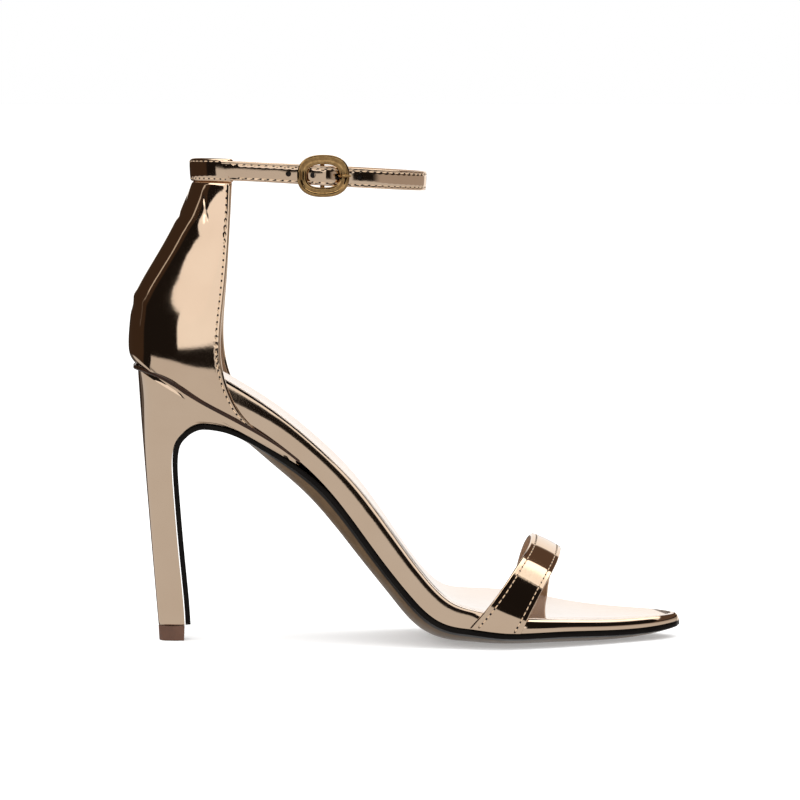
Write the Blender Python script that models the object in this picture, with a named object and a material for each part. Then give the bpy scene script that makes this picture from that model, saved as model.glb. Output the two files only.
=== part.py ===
"""A strappy heeled sandal for the right foot, about EU 37, as separate pieces.

Metres, +X to the toe, -Y to the lateral side, +Z up, standing on z = 0.
Every table row holds shares of the named sizes, chosen by hand.
"""

import math

import bmesh
import bpy
import numpy as np

# Fit between pieces that touch
CLEARANCE = 0.0003

# Sole, from the seat's back to the tip of the toe
SEAT_BACK_X = -0.0985
SOLE_LENGTH = 0.1995
BALL_WIDTH = 0.0730
SEAT_WIDTH = 0.0436
AXIS_OFFSET = 0.0025
FOREFOOT_EDGE = 0.0089
BAND_THICKNESS = 0.0088
BELLY_DEPTH = 0.0056
MEDIAL_HEIGHT = 0.0026
FOOTBED_DEPTH = 0.0014
SOCK_THICKNESS = 0.0012
SOCK_INSET = 0.0008
BAND_ROUNDING = 0.0008
OUTSOLE_THICKNESS = 0.0019
OUTSOLE_INSET = 0.0006
WING_JOIN_SHARE = 0.028
HEEL_ROUND_RADIUS = 0.0260
HEEL_FULLNESS = 2.4
TOE_ROUND_RADIUS = 0.0120
TOE_FULLNESS = 2.2
BELLY_FULLNESS = 2.2
SEAT_LEAN = math.radians(-14)
LEAN_LENGTH = 0.0360

# Heel
HEEL_HEIGHT = 0.1007
HEEL_RAKE_DEPTH = 0.0073
WING_SHARE = 0.2927
TOP_LIFT_HEIGHT = 0.0058
TOP_LIFT_DRAFT = 0.0003
COLUMN_ROUND_SHARE = 0.75
COLUMN_TAPER_SHARE = 0.10
WING_FULL_SHARE = 0.85

# Counter, the hollow wall behind the foot
COUNTER_WALL = 0.0020
COUNTER_DEPTH = 0.0428
MEDIAL_WING_DEPTH = 0.0030
COUNTER_FOOT_SHARE = 0.2
COUNTER_NECK_SHARE = 0.6

# Ankle strap, its loop seen from above, and the tunnel that holds it
LOOP_BACK_X = -0.0771
LOOP_FRONT_X = 0.0067
LOOP_WIDTH = 0.0520
STRAP_WIDTH = 0.0070
STRAP_THICKNESS = 0.0014
STRAP_FRONT_HEIGHT = 0.0675
STRAP_BACK_HEIGHT = 0.0715
STRAP_LATERAL_HEIGHT = 0.0012
SETTLE_LENGTH = 0.0066
TAIL_LENGTH = 0.0140
TIP_LAP_LENGTH = 0.0030
TUNNEL_HEIGHT = 0.0086
TUNNEL_WALL = 0.0008
TUNNEL_FRONT_X = -0.0640

# Buckle
BUCKLE_X = -0.0315
BUCKLE_LENGTH = 0.0182
BUCKLE_HEIGHT = 0.0145
BUCKLE_WIRE = 0.0019
BAR_WIRE = 0.0016
PRONG_WIRE = 0.0013
PRONG_CLEARANCE = 0.0004
PRONG_HOLE_OFFSET = 0.0050
HOLE_DIAMETER = 0.0020
HOLE_PITCH = 0.0085
HOLES_BEHIND = 2
HOLES_AHEAD = 1

# Toe strap
TOE_STRAP_WIDTH = 0.0132
TOE_STRAP_HEIGHT = 0.0275
TOE_STRAP_THICKNESS = 0.0015
TOE_STRAP_STANDOFF = 0.0004

SOLE_COLUMNS = ("along", "rise", "seat", "ball", "axis", "tilt", "band", "belly")
SOLE_ROWS = (
    (0.000, 1.000, 1.000, 0.000, 1.00, 0.00, 1.205, 0.05),
    (0.048, 0.972, 1.000, 0.000, 1.00, 0.00, 1.195, 0.05),
    (0.108, 0.919, 1.000, 0.000, 1.00, 0.00, 1.270, 0.05),
    (0.188, 0.830, 0.985, 0.000, 0.92, 0.10, 1.230, 0.10),
    (0.260, 0.734, 0.930, 0.025, 0.76, 0.30, 1.090, 0.39),
    (0.332, 0.616, 0.800, 0.114, 0.50, 0.42, 0.966, 0.93),
    (0.404, 0.471, 0.550, 0.308, 0.28, 0.46, 1.010, 0.98),
    (0.475, 0.285, 0.250, 0.585, 0.10, 0.30, 1.020, 0.82),
    (0.529, 0.148, 0.100, 0.767, 0.00, 0.10, 0.977, 0.79),
    (0.565, 0.083, 0.030, 0.875, 0.00, 0.12, 0.960, 0.96),
    (0.602, 0.055, 0.000, 0.948, 0.00, 0.45, 0.818, 1.04),
    (0.656, 0.035, 0.000, 1.000, 0.00, 0.95, 0.727, 1.00),
    (0.711, 0.023, 0.000, 0.980, 0.08, 1.00, 0.614, 0.96),
    (0.766, 0.015, 0.000, 0.890, 0.28, 0.62, 0.511, 0.89),
    (0.843, 0.004, 0.000, 0.700, 0.64, 0.27, 0.443, 0.71),
    (0.920, 0.000, 0.000, 0.455, 0.92, 0.19, 0.430, 0.43),
    (1.000, 0.001, 0.000, 0.220, 1.04, 0.00, 0.300, 0.05),
)

# Heights are shares of HEEL_HEIGHT, forward of WING_LENGTH, half of the seat's outer
# half width, and belly of BELLY_DEPTH. The rows climb the breast and follow the arch.
HEEL_COLUMNS = ("back", "front", "forward", "half", "belly", "outline")
HEEL_ROWS = (
    (0.058, 0.058, 0.289, 0.216, 0.00, 0.0),
    (0.169, 0.161, 0.277, 0.228, 0.00, 0.0),
    (0.357, 0.344, 0.247, 0.261, 0.00, 0.0),
    (0.566, 0.549, 0.219, 0.324, 0.00, 0.0),
    (0.680, 0.648, 0.211, 0.407, 0.00, 0.1),
    (0.750, 0.702, 0.219, 0.498, 0.00, 0.2),
    (0.804, 0.742, 0.245, 0.606, 0.00, 0.4),
    (0.854, 0.779, 0.307, 0.730, 0.00, 0.6),
    (0.889, 0.798, 0.375, 0.822, 0.00, 0.8),
    (0.916, 0.800, 0.445, 0.888, 0.01, 0.9),
    (0.941, 0.789, 0.555, 0.946, 0.05, 1.0),
    (0.961, 0.764, 0.666, 0.975, 0.15, 1.0),
    (0.975, 0.737, 0.759, 0.988, 0.32, 1.0),
    (0.987, 0.693, 0.882, 0.995, 0.60, 1.0),
    (0.994, 0.652, 1.000, 1.000, 0.82, 1.0),
)

# Height and front are shares of the wall's height over the seat line's back, setback
# too, forward of COUNTER_DEPTH, and half of the seat's outer half width.
COUNTER_COLUMNS = ("up", "setback", "height", "forward", "front", "half", "fullness")
COUNTER_ROWS = (
    (0.00, 0.000, 0.000, 1.000, -0.310, 1.000, 2.6),
    (0.06, -0.036, 0.049, 0.890, -0.246, 1.030, 2.6),
    (0.14, -0.049, 0.121, 0.797, -0.153, 1.060, 2.5),
    (0.26, -0.043, 0.229, 0.722, -0.011, 1.080, 2.4),
    (0.40, -0.018, 0.371, 0.701, 0.162, 1.065, 2.3),
    (0.55, 0.057, 0.522, 0.727, 0.356, 1.015, 2.2),
    (0.70, 0.150, 0.678, 0.760, 0.558, 0.945, 2.1),
    (0.85, 0.237, 0.838, 0.783, 0.772, 0.865, 2.0),
    (1.00, 0.312, 1.000, 0.797, 1.000, 0.800, 2.0),
)

# From the lateral foot over the toes to the medial one. Forward is a share of
# SOLE_LENGTH, side of the sole's half width, up and drop of TOE_STRAP_HEIGHT, and
# across of TOE_STRAP_WIDTH.
TOE_STRAP_COLUMNS = ("along", "forward", "side", "up", "drop", "across")
TOE_STRAP_ROWS = (
    (0.00, 0.645, -1.00, 0.01, 0.000, 1.40),
    (0.07, 0.662, -1.00, 0.19, -0.150, 1.10),
    (0.17, 0.687, -0.96, 0.48, -0.240, 0.87),
    (0.29, 0.714, -0.79, 0.75, -0.225, 0.84),
    (0.43, 0.738, -0.51, 0.95, -0.200, 0.82),
    (0.56, 0.750, -0.10, 1.03, -0.185, 0.82),
    (0.69, 0.753, 0.34, 0.98, -0.165, 0.85),
    (0.81, 0.748, 0.72, 0.77, -0.130, 0.90),
    (0.90, 0.741, 0.93, 0.46, -0.080, 0.95),
    (0.96, 0.736, 1.00, 0.19, -0.030, 1.00),
    (1.00, 0.734, 1.00, 0.01, 0.000, 1.05),
)

SEAT_HALF = SEAT_WIDTH / 2
OUTER_HALF = SEAT_HALF + CLEARANCE + COUNTER_WALL

# Offsets from the ankle loop's middle line, outwards
LAYER = STRAP_THICKNESS + CLEARANCE
OVER_BAR = BAR_WIRE / 2 + CLEARANCE + STRAP_THICKNESS / 2
FRAME_OFFSET = LAYER + STRAP_THICKNESS / 2 + CLEARANCE + BUCKLE_WIRE / 2
TUNNEL_OUTSIDE = STRAP_THICKNESS / 2 + CLEARANCE + TUNNEL_WALL
TIP_OFFSET = TUNNEL_OUTSIDE + CLEARANCE + STRAP_THICKNESS / 2

# How finely the curved pieces are divided
ACROSS = np.sin(np.linspace(-math.pi / 2, math.pi / 2, 9))
SOLE_RINGS = 30
HEEL_RINGS = 24
SEAT_STEPS = 12
COUNTER_RINGS = 17
COUNTER_STEPS = 25

MATERIALS = {
    "mirror": ((0.50, 0.33, 0.20), 0.08, 1.0),
    "footbed": ((0.80, 0.62, 0.50), 0.10, 1.0),
    "sole_leather": ((0.02, 0.016, 0.012), 0.30, 0.0),
    "top_lift": ((0.11, 0.05, 0.03), 0.40, 0.0),
    "hardware": ((0.36, 0.24, 0.11), 0.22, 1.0),
}


def spline(xs, ys):
    """The natural cubic through the points, as a function of x."""
    xs, ys = np.array(xs, float), np.array(ys, float)
    step = np.diff(xs)
    count = len(xs)
    matrix, right = np.eye(count), np.zeros(count)
    for i in range(1, count - 1):
        matrix[i, i - 1 : i + 2] = step[i - 1], 2 * (step[i - 1] + step[i]), step[i]
        right[i] = 6 * ((ys[i + 1] - ys[i]) / step[i] - (ys[i] - ys[i - 1]) / step[i - 1])
    bend = np.linalg.solve(matrix, right)

    def at(x):
        i = int(np.clip(np.searchsorted(xs, x) - 1, 0, count - 2))
        h, before, after = step[i], x - xs[i], xs[i + 1] - x
        cubes = (bend[i] * after**3 + bend[i + 1] * before**3) / (6 * h)
        lines = (ys[i] / h - bend[i] * h / 6) * after
        return cubes + lines + (ys[i + 1] / h - bend[i + 1] * h / 6) * before

    return at


def read_table(columns, rows, by):
    """A spline for each column, against the column that is named by."""
    key = [row[columns.index(by)] for row in rows]
    return {c: spline(key, [row[i] for row in rows]) for i, c in enumerate(columns)}


def ease(x):
    x = min(max(x, 0.0), 1.0)
    return x * x * (3 - 2 * x)


def rounded_end(distance, radius, fullness):
    """The share of its width that a rounded end has, at a distance from its tip."""
    if distance >= radius:
        return 1.0
    return (1 - (1 - max(distance, 0.0) / radius) ** fullness) ** (1 / fullness)


SOLE = read_table(SOLE_COLUMNS, SOLE_ROWS, "along")
COUNTER = read_table(COUNTER_COLUMNS, COUNTER_ROWS, "up")
TOE_STRAP = read_table(TOE_STRAP_COLUMNS, TOE_STRAP_ROWS, "along")

# The board's seat lies on the heel, and the wing reaches a share along the sole
SEAT_EDGE_HEIGHT = SOLE["band"](0.0) * BAND_THICKNESS * math.cos(SEAT_LEAN)
INSOLE_RISE = HEEL_HEIGHT + CLEARANCE + SEAT_EDGE_HEIGHT - FOREFOOT_EDGE
WING_LENGTH = WING_SHARE * SOLE_LENGTH


def sole_edge(u):
    """The footbed's lateral edge at share u: x, z and the section's direction."""
    x = SEAT_BACK_X + u * SOLE_LENGTH
    z = FOREFOOT_EDGE + SOLE["rise"](u) * INSOLE_RISE
    nudge = 0.002
    climb = (SOLE["rise"](u - nudge) - SOLE["rise"](u + nudge)) * INSOLE_RISE
    slope = math.atan2(climb, 2 * nudge * SOLE_LENGTH)
    fade = ease(u * SOLE_LENGTH / LEAN_LENGTH)
    lean = slope * fade + SEAT_LEAN * (1 - fade)
    return x, z, math.sin(lean), math.cos(lean)


def sole_half(u, inset=0.0):
    """Half the sole's width at share u, for an outline that lies inset further in."""
    half = SOLE["seat"](u) * SEAT_HALF + SOLE["ball"](u) * BALL_WIDTH / 2 - inset
    from_back = u * SOLE_LENGTH - inset
    from_tip = (1 - u) * SOLE_LENGTH - inset
    half *= rounded_end(from_back, HEEL_ROUND_RADIUS - inset, HEEL_FULLNESS)
    return half * rounded_end(from_tip, TOE_ROUND_RADIUS - inset, TOE_FULLNESS)


def crown(s):
    """The rounding across the sole: 1 in the middle, 0 at either edge."""
    return 1 - abs(s) ** BELLY_FULLNESS


def sole_point(u, s, depth, bulge=0.0, inset=0.0, floor=0.0):
    """A point at share s across the sole, from -1 lateral to 1 medial."""
    x, z, lean_x, lean_z = sole_edge(u)
    lift = SOLE["tilt"](u) * MEDIAL_HEIGHT * (s + 1) / 2
    lift -= depth + bulge * crown(s)
    y = SOLE["axis"](u) * AXIS_OFFSET + s * sole_half(u, inset)
    return (x + lean_x * lift, y, max(z + lean_z * lift, floor))


def band_depth(u):
    return SOLE["band"](u) * BAND_THICKNESS


def belly(u):
    return SOLE["belly"](u) * BELLY_DEPTH


def sole_stations(start, inset=0.0):
    """Shares along the sole, closer together where the ends are round."""
    back = inset + HEEL_ROUND_RADIUS * (1 - np.cos(np.linspace(0.12, math.pi / 2, 9)))
    tip = inset + TOE_ROUND_RADIUS * (1 - np.cos(np.linspace(math.pi / 2, 0.16, 8)))
    run = np.linspace(back[-1] / SOLE_LENGTH, 1 - tip[0] / SOLE_LENGTH, SOLE_RINGS)
    shares = np.concatenate([back[:-1] / SOLE_LENGTH, run, 1 - tip[1:] / SOLE_LENGTH])
    return shares[shares > start]


def material(name):
    found = bpy.data.materials.get(name)
    if found:
        return found
    color, roughness, metallic = MATERIALS[name]
    made = bpy.data.materials.new(name)
    made.use_nodes = True
    shader = made.node_tree.nodes["Principled BSDF"]
    shader.inputs["Base Color"].default_value = (*color, 1)
    shader.inputs["Roughness"].default_value = roughness
    shader.inputs["Metallic"].default_value = metallic
    return made


def add_object(name, mesh, look):
    mesh.materials.clear()
    mesh.materials.append(material(look))
    mesh.shade_smooth()
    mesh.set_sharp_from_angle(angle=math.radians(40))
    made = bpy.data.objects.new(name, mesh)
    parts.objects.link(made)
    made.parent = root
    return made


def bridge(shape, rings):
    """Walls between rings that have the same number of points. Gives their vertices."""
    loops = [[shape.verts.new(point) for point in ring] for ring in rings]
    for low, high in zip(loops, loops[1:]):
        for i in range(len(low)):
            j = (i + 1) % len(low)
            shape.faces.new((low[i], low[j], high[j], high[i]))
    return loops


def loft(name, rings, look):
    """A closed solid through rings, with a cap at both ends."""
    shape = bmesh.new()
    loops = bridge(shape, rings)
    shape.faces.new(loops[0])
    shape.faces.new(loops[-1])
    return finish(name, shape, look)


def finish(name, shape, look):
    bmesh.ops.remove_doubles(shape, verts=shape.verts, dist=1e-6)
    bmesh.ops.recalc_face_normals(shape, faces=shape.faces)
    mesh = bpy.data.meshes.new(name)
    shape.to_mesh(mesh)
    shape.free()
    return add_object(name, mesh, look)


def make_insole():
    """The sock: a thin sheet that lies in the dished top of the midsole."""
    rings = []
    for u in sole_stations(0, SOCK_INSET):
        top = [sole_point(u, s, 0, FOOTBED_DEPTH, SOCK_INSET) for s in ACROSS]
        under = [
            sole_point(u, s, SOCK_THICKNESS, FOOTBED_DEPTH, SOCK_INSET)
            for s in reversed(ACROSS)
        ]
        rings.append(top + under)
    return loft("insole", rings, "footbed")


def make_midsole():
    """The wrapped board: a dished top, an upright band and a rounded underside."""
    floor = OUTSOLE_THICKNESS + CLEARANCE
    top_depth = SOCK_THICKNESS + CLEARANCE
    rings = []
    for u in sole_stations(0):
        low = band_depth(u)
        soft = min(BAND_ROUNDING, sole_half(u) / 3, (low - top_depth) / 3)
        top = [sole_point(u, s, top_depth, FOOTBED_DEPTH, soft) for s in ACROSS]
        medial = [sole_point(u, 1, depth) for depth in (top_depth + soft, low - soft)]
        under = [sole_point(u, s, low, belly(u), soft, floor) for s in reversed(ACROSS)]
        lateral = [sole_point(u, -1, depth) for depth in (low - soft, top_depth + soft)]
        rings.append(top + medial + under + lateral)
    return loft("midsole", rings, "mirror")


def seat_share(x):
    """The share u whose section meets the seat line at this x."""
    low, high = 0.0, 0.6
    for _ in range(40):
        middle = (low + high) / 2
        if sole_point(middle, -1, band_depth(middle))[0] < x:
            low = middle
        else:
            high = middle
    return low


def seat_point(t, reach, offset):
    """The seat line at t, from -1 lateral over 0 at the back to 1 medial, pushed out."""
    def edge(at):
        u = reach * (1 - math.cos(abs(at) * math.pi / 2))
        return np.array(sole_point(u, math.copysign(1, at), band_depth(u)))

    nudge = 0.004
    here = edge(t)
    ahead, behind = edge(t + nudge), edge(t - nudge)
    if abs(t) < nudge:
        ahead, behind = edge(nudge), edge(-nudge)
        here = (ahead + behind) / 2
    run = (ahead - behind)[:2]
    run /= np.linalg.norm(run)
    return (here[0] - run[1] * offset, here[1] + run[0] * offset, here[2])


def wing_offset(u):
    """How far the heel's top stands out from the midsole, less towards the wing's tip."""
    x = sole_point(u, -1, band_depth(u))[0]
    full = seat_outer_back() + COUNTER_DEPTH * WING_FULL_SHARE
    tip = seat_outer_back() + WING_LENGTH
    fade = 1 - ease((x - full) / (tip - full))
    return (CLEARANCE + COUNTER_WALL) * fade


def seat_outer_back():
    back = sole_point(0, 0, band_depth(0))[0]
    return back - CLEARANCE - COUNTER_WALL


def heel_back_x(z):
    drop = max((HEEL_HEIGHT - z) / (HEEL_HEIGHT - TOP_LIFT_HEIGHT), 0.0)
    return seat_outer_back() + HEEL_RAKE_DEPTH * drop**1.1


def heel_rows():
    """Rows of the heel from its foot to the wing, at even steps, as a list of dicts."""
    key = list(range(len(HEEL_ROWS)))
    columns = {
        c: spline(key, [row[i] for row in HEEL_ROWS]) for i, c in enumerate(HEEL_COLUMNS)
    }
    rows = []
    for at in np.linspace(0, len(HEEL_ROWS) - 1, HEEL_RINGS):
        rows.append({c: columns[c](at) for c in HEEL_COLUMNS})
    return rows


def breast_line(rows):
    """The heel's front line in side view, with its outward normals."""
    line = np.array(
        [(seat_outer_back() + r["forward"] * WING_LENGTH, r["front"] * HEEL_HEIGHT) for r in rows]
    )
    run = np.gradient(line, axis=0)
    run /= np.linalg.norm(run, axis=1)[:, None]
    return line, np.stack([run[:, 1], -run[:, 0]], axis=1)


def heel_outline(reach):
    """The seat's outer edge as lateral and medial points, from the back to the wing."""
    shares = [i / SEAT_STEPS for i in range(SEAT_STEPS + 1)]
    us = [reach * (1 - math.cos(t * math.pi / 2)) for t in shares]
    lateral = [seat_point(-t, reach, wing_offset(u)) for t, u in zip(shares, us)]
    medial = [seat_point(t, reach, wing_offset(u)) for t, u in zip(shares, us)]
    return us, lateral, medial


def heel_ring(row, front, out, seat_ratios):
    """One section of the heel: the medial side, across the breast, the lateral side."""
    back_z = row["back"] * HEEL_HEIGHT
    back_x = heel_back_x(back_z)
    sides = []
    for i, seat_ratio in enumerate(seat_ratios):
        a = 1 - math.cos(i / SEAT_STEPS * math.pi / 2)
        column = rounded_end(a, COLUMN_ROUND_SHARE, HEEL_FULLNESS) * (1 - COLUMN_TAPER_SHARE * a)
        ratio = column + (seat_ratio - column) * ease(row["outline"])
        x = back_x + (front[0] - back_x) * a
        z = back_z + (front[1] - back_z) * a
        sides.append((x, z, row["half"] * OUTER_HALF * ratio))
    ring = [(x, AXIS_OFFSET + half, z) for x, z, half in sides[:-1]]
    x, z, half = sides[-1]
    for s in ACROSS[::-1]:
        push = row["belly"] * BELLY_DEPTH * crown(s)
        ring.append((x + out[0] * push, AXIS_OFFSET + s * half, z + out[1] * push))
    return ring + [(x, AXIS_OFFSET - half, z) for x, z, half in sides[-2:0:-1]]


def heel_rim(wing, lateral, medial):
    """The heel's top edge, a clearance under the midsole."""
    rim = [(x, y, z - CLEARANCE) for x, y, z in medial[:-1]]
    rim += [heel_top_point(wing, s, lateral[-1], medial[-1]) for s in ACROSS[::-1]]
    return rim + [(x, y, z - CLEARANCE) for x, y, z in lateral[-2:0:-1]]


def make_heel():
    """A slim column that fans out into the seat cup and a wing under the arch."""
    reach = seat_share(seat_outer_back() + WING_LENGTH)
    us, lateral, medial = heel_outline(reach)
    widths = [m[1] - l[1] for l, m in zip(lateral, medial)]
    seat_ratios = [width / max(widths) for width in widths]
    rows = heel_rows()
    line, outward = breast_line(rows)
    rings = [heel_ring(row, *place, seat_ratios) for row, *place in zip(rows, line, outward)]
    rings.append(heel_rim(us[-1], lateral, medial))
    shape = bmesh.new()
    loops = bridge(shape, rings)
    shape.faces.new(loops[0])
    grid = [[shape.verts.new(rings[-1][0])] * len(ACROSS)]
    for u, left, right in zip(us[1:], lateral[1:], medial[1:]):
        grid.append([shape.verts.new(heel_top_point(u, s, left, right)) for s in ACROSS])
    for low, high in zip(grid, grid[1:]):
        for i in range(len(ACROSS) - 1):
            corners = [low[i], low[i + 1], high[i + 1], high[i]]
            shape.faces.new(list(dict.fromkeys(corners)))
    return finish("heel", shape, "mirror")


def heel_top_point(u, s, left, right):
    """The heel's top, a clearance under the midsole, between two points of its rim."""
    _, _, lean_x, lean_z = sole_edge(u)
    share = (s + 1) / 2
    push = belly(u) * crown(s)
    px = left[0] + (right[0] - left[0]) * share - lean_x * push
    pz = left[2] + (right[2] - left[2]) * share - lean_z * push
    return (px, left[1] + (right[1] - left[1]) * share, pz - CLEARANCE)


def make_top_lift():
    """The tread under the heel: the heel's foot outline, slightly drafted."""
    foot = parts.objects["heel"].data
    top = TOP_LIFT_HEIGHT
    low = min(vertex.co.z for vertex in foot.vertices)
    ring = [v.co.copy() for v in foot.vertices if v.co.z < low + 1e-6]
    middle = sum((p.x for p in ring)) / len(ring), AXIS_OFFSET
    ring.sort(key=lambda p: math.atan2(p.y - middle[1], p.x - middle[0]))
    rings = []
    for z, draft in ((0.0, -TOP_LIFT_DRAFT), (low - CLEARANCE, 0.0)):
        loop = []
        for p in ring:
            away = np.array([p.x - middle[0], p.y - middle[1]])
            away = away * (1 + draft / np.linalg.norm(away))
            loop.append((middle[0] + away[0], middle[1] + away[1], z))
        rings.append(loop)
    return loft("top_lift", rings, "top_lift")


def forefoot_rings(reach):
    """The outsole under the midsole, from the toe to the tip of the heel's wing."""
    rings = []
    for u in sole_stations(reach + WING_JOIN_SHARE, 2 * OUTSOLE_INSET)[::-1]:
        depth = band_depth(u) + CLEARANCE
        low = depth + OUTSOLE_THICKNESS
        soft = min(OUTSOLE_INSET, sole_half(u) / 4)
        top = [sole_point(u, s, depth, belly(u), soft, OUTSOLE_THICKNESS) for s in ACROSS]
        under = [sole_point(u, s, low, belly(u), 2 * soft) for s in reversed(ACROSS)]
        rings.append(top + under)
    return rings


def breast_rings(reach):
    """The outsole along the heel: under the wing, over the arch and down the breast."""
    rows = heel_rows()
    line, outward = breast_line(rows)
    _, lateral, medial = heel_outline(reach)
    widths = [m[1] - l[1] for l, m in zip(lateral, medial)]
    wing_ratio, column_ratio = widths[-1] / max(widths), 1 - COLUMN_TAPER_SHARE
    rings = []
    for row, front, out in list(zip(rows, line, outward))[::-1]:
        ratio = column_ratio + (wing_ratio - column_ratio) * ease(row["outline"])
        half = row["half"] * OUTER_HALF * ratio - CLEARANCE

        def edge(s, depth, narrow):
            away = depth + row["belly"] * BELLY_DEPTH * crown(s)
            y = AXIS_OFFSET + s * (half - narrow)
            return (front[0] + out[0] * away, y, front[1] + out[1] * away)

        low = CLEARANCE + OUTSOLE_THICKNESS
        top = [edge(s, CLEARANCE, 0) for s in ACROSS]
        under = [edge(s, low, OUTSOLE_INSET) for s in reversed(ACROSS)]
        rings.append(top + under)
    return rings


def make_outsole():
    """One thin sheet: forefoot, arch, and the flap down the heel's breast."""
    reach = seat_share(seat_outer_back() + WING_LENGTH)
    rings = forefoot_rings(reach) + breast_rings(reach)
    return loft("outsole", rings, "sole_leather")


def counter_shape(up, t, offset):
    """The counter's wall from its table: up from 0 to 1, t from -1 lateral to 1 medial."""
    row = {c: COUNTER[c](up) for c in COUNTER_COLUMNS}
    angle = abs(t) * math.pi / 2
    top = loop_height(rim_angle(t)) - TUNNEL_HEIGHT / 2 - CLEARANCE
    tall = top - HEEL_HEIGHT
    back = seat_outer_back() + row["setback"] * tall + offset
    extra = MEDIAL_WING_DEPTH * ease(t) * ease(up / 0.1) * (1 - up)
    front = seat_outer_back() + row["forward"] * COUNTER_DEPTH + extra
    power = 2 / row["fullness"]
    x = front - (front - back) * math.cos(angle) ** power
    half = row["half"] * OUTER_HALF - offset
    y = AXIS_OFFSET + math.copysign(half * math.sin(angle) ** power, t)
    share = math.sin(angle) ** 2
    z = HEEL_HEIGHT + tall * (row["height"] * (1 - share) + row["front"] * share)
    return np.array((x, y, z))


def rim_angle(t):
    """The place on the ankle loop that lies over the counter's share t."""
    return math.pi + t * (loop_angle(TUNNEL_FRONT_X, False) - math.pi)


def counter_point(up, t, offset):
    """The wall, drawn to the seat line at its foot and to the ankle loop at its rim."""
    point = counter_shape(up, t, offset)
    if up < COUNTER_FOOT_SHARE:
        reach = seat_share(seat_outer_back() + COUNTER_DEPTH)
        foot = seat_point(t, reach, CLEARANCE + COUNTER_WALL - offset)
        share = 1 - up / COUNTER_FOOT_SHARE
        point += (np.array(foot) - counter_shape(0, t, offset)) * share**2
    if up > COUNTER_NECK_SHARE:
        place, _ = loop_point(rim_angle(t), COUNTER_WALL / 2 - offset)
        top = counter_shape(1, t, offset)
        rim = np.array((place[0], place[1], top[2]))
        share = (up - COUNTER_NECK_SHARE) / (1 - COUNTER_NECK_SHARE)
        point += (rim - top) * share**2
    return tuple(point)


def make_counter():
    """The hollow wall round the back of the foot, open at the top and in front."""
    rings = []
    for up in np.linspace(0, 1, COUNTER_RINGS):
        ts = np.linspace(-1, 1, COUNTER_STEPS)
        outer = [counter_point(up, t, 0) for t in ts]
        inner = [counter_point(up, t, COUNTER_WALL) for t in ts[::-1]]
        rings.append(outer + inner)
    return loft("heel_counter", rings, "mirror")


def loop_point(angle, offset):
    """The ankle loop in plan: angle 0 at the front, pi/2 lateral, pi at the back."""
    middle = (LOOP_BACK_X + LOOP_FRONT_X) / 2
    long, wide = (LOOP_FRONT_X - LOOP_BACK_X) / 2, LOOP_WIDTH / 2
    x, y = long * math.cos(angle), -wide * math.sin(angle)
    out = np.array((x / long**2, y / wide**2))
    out /= np.linalg.norm(out)
    place = np.array((middle + x, AXIS_OFFSET + y)) + out * offset
    return place, out


def loop_angle(x, lateral=True):
    middle = (LOOP_BACK_X + LOOP_FRONT_X) / 2
    angle = math.acos(np.clip((x - middle) / (LOOP_FRONT_X - middle), -1, 1))
    return angle if lateral else 2 * math.pi - angle


def loop_height(angle):
    back = (1 - math.cos(angle)) / 2
    lift = STRAP_LATERAL_HEIGHT * max(math.sin(angle), 0) * back
    over_seat = STRAP_FRONT_HEIGHT + (STRAP_BACK_HEIGHT - STRAP_FRONT_HEIGHT) * back
    return HEEL_HEIGHT + over_seat + lift


def strip(name, stations, width, thickness, look):
    """A flat strip round the ankle, through stations of angle and offset."""
    middle = np.array([loop_point(angle, offset)[0] for angle, offset in stations])
    run = np.gradient(middle, axis=0)
    run /= np.linalg.norm(run, axis=1)[:, None]
    side = np.stack([run[:, 1], -run[:, 0]], axis=1) * thickness / 2
    rings = []
    for (angle, _), place, half in zip(stations, middle, side):
        z = loop_height(angle)
        (ax, ay), (bx, by) = place - half, place + half
        low, high = z - width / 2, z + width / 2
        rings.append([(ax, ay, low), (bx, by, low), (bx, by, high), (ax, ay, high)])
    return loft(name, rings, look)


def turn_per_metre(angle):
    """How much the loop's angle grows for each metre along it."""
    nudge = 0.01
    step = loop_point(angle + nudge, 0)[0] - loop_point(angle, 0)[0]
    return nudge / np.linalg.norm(step)


def over_bar(distance):
    """How far the bar pushes a layer out, at a distance along the strap from it."""
    return OVER_BAR * (1 - ease(abs(distance) / SETTLE_LENGTH))


def strap_stations():
    """Angle and offset along the strap, from its folded tail to its free tip."""
    bar = loop_angle(BUCKLE_X)
    rate = turn_per_metre(bar)
    stations = []
    for away in np.linspace(TAIL_LENGTH, OVER_BAR * 0.4, 6):
        settle = ease(away / SETTLE_LENGTH)
        stations.append((bar + away * rate, -OVER_BAR + (OVER_BAR - LAYER) * settle))
    for swing in np.radians(np.linspace(-70, 70, 7)):
        forward = OVER_BAR * math.cos(swing) * rate
        stations.append((bar - forward, OVER_BAR * math.sin(swing)))
    for away in np.linspace(OVER_BAR * 0.4, TAIL_LENGTH, 8):
        stations.append((bar + away * rate, over_bar(away)))
    lap = 2 * math.pi + bar
    join_start, join_end = lap - 3.2 * TAIL_LENGTH * rate, lap - TAIL_LENGTH * rate
    for angle in np.linspace(bar + TAIL_LENGTH * rate, join_end, 62)[1:]:
        rise = ease((angle - join_start) / (join_end - join_start))
        stations.append((angle, LAYER * rise))
    for away in np.linspace(-TAIL_LENGTH, TAIL_LENGTH, 23)[1:]:
        stations.append((lap + away * rate, LAYER + over_bar(away)))
    mouth = 2 * math.pi + loop_angle(TUNNEL_FRONT_X)
    tip = mouth + TIP_LAP_LENGTH * rate
    for angle in np.linspace(lap + TAIL_LENGTH * rate, tip, 12)[1:]:
        rise = ease((angle - mouth + TAIL_LENGTH * rate) / (0.8 * TAIL_LENGTH * rate))
        stations.append((angle, LAYER + (TIP_OFFSET - LAYER) * rise))
    return stations


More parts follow.
